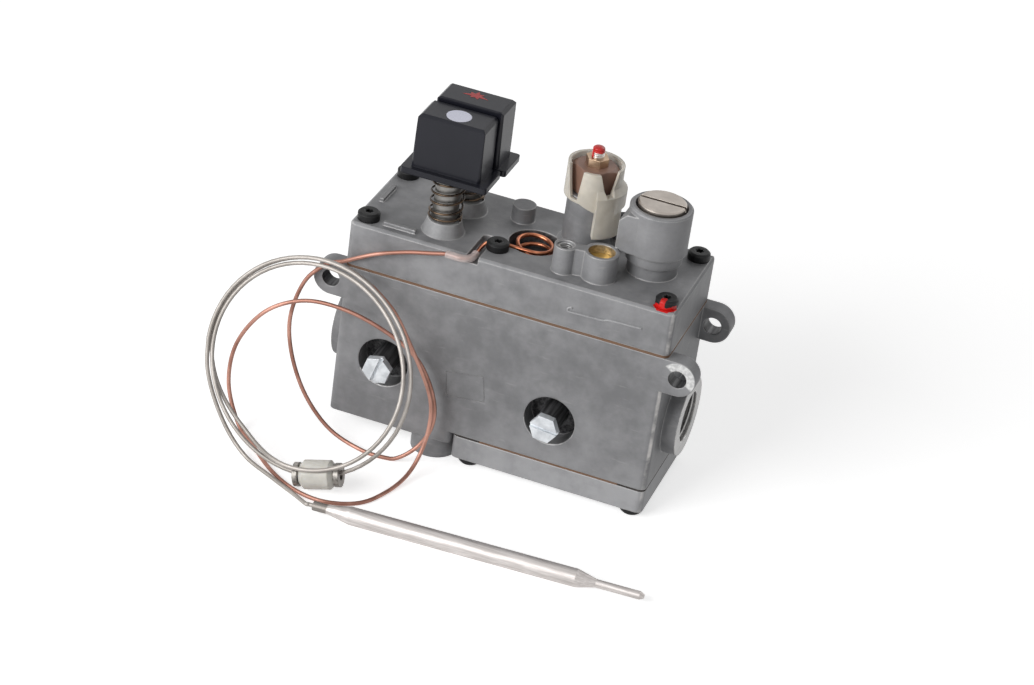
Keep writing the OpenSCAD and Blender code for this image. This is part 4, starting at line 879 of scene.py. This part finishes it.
# %% Nylon and brown plastic
def nylon_recipe(pale, dim):
    def recipe(wire, place):
        rounded, edge = edge_normal_and_mask(wire, 0.0005)
        slow = soft(cloud(place, 90, 3, 0.55), 0.3, 0.7)
        fine = cloud(place, 1500, 2)
        return {
            "Base Color": (0.4 * edge).mix(slow.mix(dim, pale), (0.8, 0.78, 0.73, 1)),
            "Roughness": 0.34 + 0.14 * slow,
            "Alpha": 0.7 + 0.12 * slow,
            "Subsurface Weight": 0.25,
            "Subsurface Radius": (0.002, 0.0018, 0.0014),
            "Normal": relief(fine, 0.00002, rounded),
        }
    return recipe


def insert_recipe(wire, place):
    rounded, edge = edge_normal_and_mask(wire, 0.0005)
    flecks = cloud(place, 700, 3, 0.6)
    slow = cloud(place, 110, 3)
    colour = slow.mix((0.150, 0.078, 0.054, 1), (0.300, 0.175, 0.130, 1))
    return {
        "Base Color": (0.3 * edge).mix(colour, (0.34, 0.24, 0.2, 1)),
        "Roughness": 0.42 + 0.12 * flecks,
        "Normal": relief(flecks, 0.00003, rounded),
    }


WARM_WHITE = (0.86, 0.81, 0.71, 1), (0.72, 0.67, 0.58, 1)
COOL_WHITE = (0.82, 0.80, 0.74, 1), (0.68, 0.66, 0.60, 1)
ring_nylon = make_finish("setting_ring_nylon", nylon_recipe(*WARM_WHITE))
bush_nylon = make_finish("bush_nylon", nylon_recipe(*COOL_WHITE))
brown_insert = make_finish("brown_insert", insert_recipe)

# %% [markdown]
# Turned parts show the fine rings that a lathe leaves. The rings are noise that only depends on
# the distance from the part's own axis and on the height along it, so they run round it. One
# recipe makes every turned part; an axis, two tones and a roughness tell them apart. The stud has
# a dab of red lacquer as well.

# %% Turned metal
def turned_recipe(axis, dark, pale, rough, lacquer=None):
    def recipe(wire, place):
        x, y, z = axes_of(place)
        rounded, edge = edge_normal_and_mask(wire, 0.0003)
        ring = wire.node("ShaderNodeCombineXYZ", {}, {"X": off_axis(x, y, axis), "Z": z})
        rings = cloud(ring, 2500, 2, 0.6)
        tarnish = soft(cloud(place, 160, 3, 0.6), 0.3, 0.7)
        colour = (0.55 * rings + 0.45 * tarnish).mix(dark, pale)
        normal = relief(rings, 0.00002, rounded)
        metal = 0.95
        if lacquer:
            paint = lacquer(place)
            colour = paint.mix(colour, LACQUER)
            metal = 0.95 * (1 - paint)
        return {
            "Base Color": (0.4 * edge).mix(colour, pale), "Metallic": metal,
            "Roughness": rough + 0.12 * rings, "Normal": normal,
        }
    return recipe


def stud_tip(place):
    """Lacquer on the top of the stud, with one run down its left side."""
    x, y, z = axes_of(place)
    ragged = cloud(place, 700, 2) * 0.0008
    drip = (x < DRIP_X) * (y < DRIP_Y)
    return any_of((z + ragged) > TIP_Z, drip)


DRIP_X, DRIP_Y, TIP_Z = 0.0150, 0.0125, 0.1203
STEEL = ((0.13, 0.127, 0.120, 1), (0.32, 0.31, 0.295, 1))
NICKEL = ((0.31, 0.275, 0.245, 1), (0.50, 0.455, 0.41, 1))
BRASS = ((0.50, 0.36, 0.13, 1), (0.86, 0.67, 0.30, 1))
BRIGHT = ((0.45, 0.43, 0.42, 1), (0.72, 0.70, 0.68, 1))
YELLOW = ((0.27, 0.18, 0.11, 1), (0.64, 0.46, 0.32, 1))
PLAIN = ((0.40, 0.40, 0.40, 1), (0.66, 0.66, 0.66, 1))
# axis, dark and pale tone, roughness
TURNED = {
    "off_stem": (OFF, STEEL, 0.34),
    "ignition_stem": (IGNITION, STEEL, 0.34),
    "regulator_cap": (REGULATOR, NICKEL, 0.26),
    "calibration_stud": (SETTING, BRIGHT, 0.25),
    "calibration_nut": (SETTING, YELLOW, 0.24),
    "threaded_insert": ((16.1, -15.5), PLAIN, 0.3),
    "pilot_adjuster": (PILOT, BRASS, 0.24),
    "capillary_ferrule": ((7.7, 0), BRASS, 0.3),
    "magnet_unit": (IGNITION, BRASS, 0.32),
    "safety_valve": (IGNITION, STEEL, 0.35),
    "main_valve": (SETTING, STEEL, 0.34),
    "regulator_valve": (REGULATOR, STEEL, 0.36),
    "thermostat_capsule": (SETTING, NICKEL, 0.34),
}
finishes = {}
for node, (axis, (dark, pale), rough) in TURNED.items():
    lacquer = stud_tip if node == "calibration_stud" else None
    recipe = turned_recipe(axis, dark, pale, rough, lacquer)
    finishes[node] = make_finish("turned_" + node, recipe)

# %% [markdown]
# Five holes are tapped: the two gas ports, the pilot outlet below, the small port on the deck and
# the seat of the thermocouple. A thread is a ridge that climbs round a wall, so it follows a path
# too: the tube tree sweeps it along a helix, and half of it is sunk in the wall. The stud of the
# setting ring has the same ridge on its outside, above the nut.

# %% Tapped holes
def thread_line(mouth, inward, radius, length, pitch, steps=40):
    """A helix from the mouth of a hole along its axis, in metres."""
    inward = Vector(inward)
    side = inward.orthogonal().normalized()
    other = inward.cross(side)
    line = []
    for k in range(int(length / pitch * steps)):
        turn = math.tau * k / steps
        around = side * math.cos(turn) + other * math.sin(turn)
        line.append((mouth + inward * (pitch * k / steps) + around * radius) * MM)
    return line


CUT = (0.27, 0.27, 0.27, 1), (0.46, 0.45, 0.44, 1)
tapped = make_finish("tapped_thread", speckled(
    CUT, noise=(800, 3, 0.6), rough=(0.28, 0.16), depth=0.00004, metal=0.85,
))
RIDGE_OF_PITCH = 0.3
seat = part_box("magnet_unit")[0][2] / MM
# mouth, direction inward, radius, length, pitch
TAPPED = {
    "inlet_thread": ((-64.9, 3.3, 32.5), (1, 0, 0), 9.3, 11, 1.8),
    "outlet_thread": ((64.9, 3.3, 32.5), (-1, 0, 0), 9.3, 11, 1.8),
    "pilot_outlet_thread": ((-21.4, -12.45, 0.6), (0, 0, 1), 4.4, 11, 1.25),
    "deck_port_thread": ((16.1, -12.2, 93.2), (0, 0, -1), 2.1, 8, 0.7),
    "thermocouple_thread": ((-28.2, 10.3, seat + 0.4), (0, 0, 1), 4.0, 5, 1.0),
}
for name, (mouth, inward, radius, length, pitch) in TAPPED.items():
    helix = thread_line(Vector(mouth), inward, radius, length, pitch)
    ridge_size = {"Tube Radius": RIDGE_OF_PITCH * pitch * MM, "Sides": 8, "Finish": tapped}
    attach(grown(name, helix, tube_tree, ridge_size), "housing")

# %% Thread on the stud
STUD_R, STUD_PITCH, STUD_RIDGE, BARE_END = 2.0, 0.7, 0.22, 0.3
stud_low, stud_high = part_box("calibration_stud")
nut_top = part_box("calibration_nut")[1][2]
stud_x, stud_y = [(stud_low[k] + stud_high[k]) / 2 for k in (0, 1)]
stud_foot = Vector((stud_x, stud_y, nut_top)) / MM
stud_length = (stud_high[2] - nut_top) / MM - BARE_END
helix = thread_line(stud_foot, (0, 0, 1), STUD_R, stud_length, STUD_PITCH)
ridge_size = {"Tube Radius": STUD_RIDGE * MM, "Sides": 8, "Finish": finishes["calibration_stud"]}
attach(grown("stud_thread", helix, tube_tree, ridge_size), "setting_spindle")

# %% [markdown]
# The bulb and its crimped neck are drawn tube, polished along their length and nickel plated. The
# hexagon plugs of the test points are zinc plated, and the cover screws are blackened steel with
# a dab of lacquer on one of them. After that every CAD node gets its finish.

# %% Bulb, plugs and screws
CRIMP_X = -0.0365


def bulb_recipe(wire, place):
    values = {"Vector": place, "Rotation": (0, 0, -BULB_TURN), "Scale": (0.03, 1, 1)}
    along = wire.node("ShaderNodeMapping", {}, values)
    polish = cloud(along, 1500, 3, 0.6)
    slow = cloud(place, 60, 3)
    crimp = soft(CRIMP_X - axes_of(place)[0], 0.0, 0.0006)
    streak = soft(0.7 * polish + 0.3 * slow, 0.3, 0.7)
    bright = streak.mix((0.42, 0.39, 0.375, 1), (0.64, 0.605, 0.59, 1))
    return {
        "Base Color": (0.75 * crimp).mix(bright, (0.12, 0.105, 0.09, 1)),
        "Metallic": 0.9,
        "Roughness": 0.38 + 0.14 * polish,
        "Normal": relief(polish, 0.00002),
    }


def black_screw_recipe(wire, place):
    rounded, edge = edge_normal_and_mask(wire, 0.0004)
    rub = cloud(place, 600, 3, 0.6)
    paint = seal_spot(place)
    colour = (edge * rub).mix((0.011, 0.011, 0.0115, 1), (0.09, 0.09, 0.09, 1))
    return {
        "Base Color": paint.mix(colour, LACQUER),
        "Metallic": 0.3 * (1 - paint),
        "Roughness": 0.42 + 0.14 * rub - 0.2 * paint,
        "Normal": relief(rub, 0.00003, rounded),
        "Specular IOR Level": 0.3,
    }


ZINC = (0.62, 0.65, 0.68, 1), (0.84, 0.87, 0.90, 1)
STAINED = (0.13, 0.12, 0.11, 1), (0.42, 0.40, 0.37, 1)
SOOT = (0.012, 0.012, 0.012, 1), (0.04, 0.04, 0.038, 1)
bulb_metal = make_finish("polished_bulb", bulb_recipe)
zinc_plugs = make_finish("zinc_plugs", speckled(
    ZINC, noise=(260, 4, 0.6), rough=(0.3, 0.15), depth=0.00003, metal=0.35, step=(0.3, 0.7),
    edge=0.0003,
))
washers = make_finish("stained_washers", speckled(
    STAINED, noise=(380, 4, 0.6), rough=(0.35, 0.2), depth=0.00003, metal=0.7, step=(0.3, 0.7),
    edge=0.0003,
))
black_screw = make_finish("blackened_screws", black_screw_recipe)
rubber = make_finish("black_rubber", speckled(
    SOOT, noise=(300, 3), rough=(0.6, 0.2), depth=0.00004,
))

# %% Dressing the CAD nodes
finishes.update({
    "body": cast_body, "top_cover": cast_cover, "bottom_cover": cast_bottom,
    "cover_gasket": upper_fibre, "bottom_gasket": lower_fibre,
    "off_button": black_plastic, "ignition_button": black_plastic,
    "setting_ring": ring_nylon, "setting_insert": brown_insert, "gland_bush": bush_nylon,
    "regulator_adjuster": bush_nylon, "sensing_bulb": bulb_metal,
    "test_point_screws": zinc_plugs, "gland_rings": washers,
    "cover_screws": black_screw, "bottom_screws": black_screw,
    "stem_seals": rubber, "shut_off_disc": rubber, "safety_seal": rubber,
    "regulator_diaphragm": rubber,
})
for node, finish in finishes.items():
    for slot in nodes[node].material_slots:
        slot.material = finish
print("dressed", len(finishes), "CAD nodes")

# %% [markdown]
# The pan head screws have a six-lobe socket. The CAD recess is a plain hexagon, so a small insert
# fills it and leaves the lobed hole. The tree draws a hexagon and a lobed ring, fills the space
# between them, lifts it into a plug and sets one plug on every screw.

# %% A tree for six-lobe sockets
LOBE_STEPS = 60
socket_tree, wire, given = named_tree(
    "six_lobe_sockets",
    [("Screws", "Geometry"), ("Outer Radius", "Float"), ("Lobe Radius", "Float"),
     ("Lobe Depth", "Float"), ("Socket Depth", "Float"), ("Turn", "Rotation"),
     ("Finish", "Material")],
    "Sockets",
)
values = {"Resolution": 6, "Radius": given["Outer Radius"]}
hexagon = wire.node("GeometryNodeCurvePrimitiveCircle", {}, values)
values = {"Resolution": LOBE_STEPS, "Radius": 1.0}
lobes = wire.node("GeometryNodeCurvePrimitiveCircle", {}, values)
angle = wire.node("GeometryNodeInputIndex") * (math.tau / LOBE_STEPS)
lobe_r = given["Lobe Radius"] + given["Lobe Depth"] * (6 * angle).maths("COSINE")
values = {"X": lobe_r * angle.maths("COSINE"), "Y": lobe_r * angle.maths("SINE")}
lobe_spot = wire.node("ShaderNodeCombineXYZ", {}, values)
lobes = wire.node("GeometryNodeSetPosition", {}, {"Geometry": lobes, "Position": lobe_spot})
rims = wire.node("GeometryNodeJoinGeometry", {}, {"Geometry": [hexagon, lobes]})
sheet = wire.node("GeometryNodeFillCurve", {}, {"Curve": rims})
sunk = wire.node("ShaderNodeCombineXYZ", {}, {"Z": 0 - given["Socket Depth"]})
sheet = wire.node("GeometryNodeSetPosition", {}, {"Geometry": sheet, "Offset": sunk})
raised = wire.node("ShaderNodeCombineXYZ", {}, {"Z": given["Socket Depth"]})
values = {"Mesh": sheet, "Offset": raised, "Individual": False}
plug = wire.node("GeometryNodeExtrudeMesh", {}, values)
under = wire.node("GeometryNodeFlipFaces", {}, {"Mesh": sheet})
plug = wire.node("GeometryNodeJoinGeometry", {}, {"Geometry": [plug, under]})
plug = wire.node("GeometryNodeMergeByDistance", {}, {"Geometry": plug, "Distance": 1e-6})
values = {"Points": given["Screws"], "Instance": plug, "Rotation": given["Turn"]}
plugs = wire.node("GeometryNodeInstanceOnPoints", {}, values)
close_tree(wire, plugs, given["Finish"], "Sockets")
print("tree", socket_tree.name, "has", len(socket_tree.nodes), "nodes")

# %% Sockets in the ten cover screws
HEAD, UNDER_HEAD, PLINTH = 3.05, 0.05, 5
ROW = 18.75
DECK_SCREWS = ((-55, -ROW), (55, -ROW), (-55, ROW), (55, ROW), (-8.5, -14))
tops = [spot(x, y, HEAD) for x, y in DECK_SCREWS]
tops.append(spot(26.4, ROW, HEAD + PLINTH))
unders = [Vector((x, y + DECK_Y, UNDER_HEAD)) * MM for x in (-6.5, 55) for y in (-ROW, ROW)]
socket_size = {
    "Outer Radius": 1.88 * MM, "Lobe Radius": 1.36 * MM, "Lobe Depth": 0.2 * MM,
    "Socket Depth": 1.3 * MM, "Finish": black_screw,
}
for name, places, flip in (("deck_sockets", tops, 0.0), ("bottom_sockets", unders, math.pi)):
    sockets = grown(name, places, socket_tree, dict(socket_size, Turn=(flip, 0.0, 0.0)))
    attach(sockets, "housing")

# %% [markdown]
# The buttons carry two printed signs: a pale dot on the front one and a red spark on the other.
# Ink has a small thickness of its own, so each sign is a thin plate that lies on the button.

# %% Printed signs
def ink_recipe(pale, dim):
    def recipe(wire, place):
        speck = cloud(place, 1800, 3, 0.6)
        return {
            "Base Color": soft(speck, 0.3, 0.62).mix(dim, pale),
            "Roughness": 0.4 + 0.15 * speck,
            "Normal": relief(speck, 0.00001),
        }
    return recipe


def laid(name, shape, finish, body):
    """A mesh made in the script, as a piece of one body."""
    bmesh.ops.recalc_face_normals(shape, faces=shape.faces)
    mesh = bpy.data.meshes.new(name)
    shape.to_mesh(mesh)
    shape.free()
    mesh.materials.append(finish)
    piece = linked(name, mesh)
    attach(piece, body)
    print("laid", name, "on", body)


INK_GAP, INK = 0.00001, 0.00006


def printed(name, outline, node, body, finish):
    """A thin plate of ink with the given outline on top of a button."""
    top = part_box(node)[1][2] + INK_GAP
    shape = bmesh.new()
    face = shape.faces.new([shape.verts.new((p.x, p.y, top)) for p in outline])
    made = bmesh.ops.extrude_face_region(shape, geom=[face])
    for item in made["geom"]:
        if isinstance(item, bmesh.types.BMVert):
            item.co.z += INK
    laid(name, shape, finish, body)


dot_ink = make_finish("pale_ink", ink_recipe((0.80, 0.81, 0.93, 1), (0.70, 0.71, 0.84, 1)))
red_ink = make_finish("red_ink", ink_recipe((0.46, 0.035, 0.035, 1), (0.27, 0.02, 0.022, 1)))
DOT_X, DOT_Y, DOT_R, DOT_STEPS = -29.3, -11.5, 4.4, 72
round_dot = []
for k in range(DOT_STEPS):
    a = math.tau * k / DOT_STEPS
    round_dot.append(spot(DOT_X + DOT_R * math.cos(a), DOT_Y + DOT_R * math.sin(a)))
printed("off_dot", round_dot, "off_button", "off_control", dot_ink)
SPARK_X, SPARK_Y, SPARK_TURN, SPARK_FLAT = -29, 3.8, 0.25, 0.8
RAYS = (4.9, 1.9, 3.2, 2.0, 3.9, 1.8, 3.2, 2.1, 4.9, 1.9, 3.0, 1.8, 3.4, 1.9)
spark = []
for k, ray in enumerate(RAYS):
    a = math.tau * k / len(RAYS) - SPARK_TURN
    spark.append(spot(SPARK_X + ray * math.cos(a), SPARK_Y + SPARK_FLAT * ray * math.sin(a)))
printed("ignition_spark", spark, "ignition_button", "ignition_control", red_ink)

# %% [markdown]
# A drop of red lacquer sits on the stud of the setting ring: a ball that is pressed flat, with its
# lower half in the stud.

# %% Lacquer drop
LACQUER_DEEP = (0.50, 0.008, 0.008, 1)
DROP_R, DROP_FLAT, DROP_SUNK = 2.15, 0.45, 0.25
middle = Vector((stud_foot.x * MM, stud_foot.y * MM, stud_high[2] - DROP_SUNK * MM))
pressed = Matrix.Translation(middle) @ Matrix.Diagonal((1, 1, DROP_FLAT, 1))
drop = bmesh.new()
bmesh.ops.create_uvsphere(drop, u_segments=32, v_segments=20, radius=DROP_R * MM, matrix=pressed)
for face in drop.faces:
    face.smooth = True
red_lacquer = make_finish("red_lacquer", speckled(
    (LACQUER_DEEP, LACQUER), noise=(500, 3), rough=(0.16, 0.14), depth=0.00004,
))
laid("lacquer_drop", drop, red_lacquer, "setting_spindle")

# %% [markdown]
# The photograph has a white ground and broad soft light from the front left, so the front is
# brighter than the deck and the right end. Two large area lamps do that. The world is white for
# the camera and for reflections, and dimmer for the light that it sheds on the object. The floor
# is a pale matt sheet; for the same rays it also glows a little, so it reads as white but keeps
# the shadow.

# %% Lamps
scene = bpy.context.scene
scene.view_settings.view_transform = "Standard"


def lamp(name, place, aim, size, power):
    data = bpy.data.lights.new(name, "AREA")
    data.shape = "RECTANGLE"
    data.size, data.size_y, data.energy = size[0], size[1], power
    item = linked(name, data)
    toward = Vector(aim) - Vector(place)
    turned = toward.to_track_quat("-Z", "Y").to_matrix().to_4x4()
    item.matrix_world = Matrix.Translation(place) @ turned
    print("lamp", name, "of", power, "W")


lamp("front_softbox", (-0.6, -0.95, 0.6), (0, 0, 0.05), (0.9, 0.7), 13.2)
lamp("back_softbox", (0.3, 0.95, 0.8), (0, 0, 0.06), (0.6, 0.6), 1.8)

# %% White room
ROOM_LIGHT = 0.22


def in_view(wire):
    """1 for rays that show a surface: to the camera, off a gloss or through something clear."""
    kinds = ("Is Camera Ray", "Is Glossy Ray", "Is Transmission Ray")
    return any_of(*[wire.node("ShaderNodeLightPath", give=kind) for kind in kinds])


world = bpy.data.worlds.new("white_room")
scene.world = world
sky = empty_tree(world)
strength = ROOM_LIGHT + (1 - ROOM_LIGHT) * in_view(sky)
glow = sky.node("ShaderNodeBackground", {}, {"Color": (1, 1, 1, 1), "Strength": strength})
sky.node("ShaderNodeOutputWorld", {}, {"Surface": glow})
print("room lights the valve with", ROOM_LIGHT, "of its white")

# %% Floor
FLOOR = 3.0
FLOOR_TONE = (0.85, 0.85, 0.85, 1)
FLOOR_GLOW = 0.6
floor_mesh = bpy.data.meshes.new("floor")
corners = [(-FLOOR, -FLOOR, 0), (FLOOR, -FLOOR, 0), (FLOOR, FLOOR, 0), (-FLOOR, FLOOR, 0)]
floor_mesh.from_pydata(corners, [], [(0, 1, 2, 3)])
floor = linked("floor", floor_mesh)
pale_floor = bpy.data.materials.new("pale_floor")
ground = empty_tree(pale_floor)
matt = ground.node("ShaderNodeBsdfDiffuse", {}, {"Color": FLOOR_TONE})
shine = ground.node("ShaderNodeEmission", {}, {"Strength": FLOOR_GLOW * in_view(ground)})
both = ground.node("ShaderNodeAddShader", {}, {0: matt, 1: shine})
ground.node("ShaderNodeOutputMaterial", {}, {"Surface": both})
floor_mesh.materials.append(pale_floor)
print("floor", 2 * FLOOR, "m wide")

# %% [markdown]
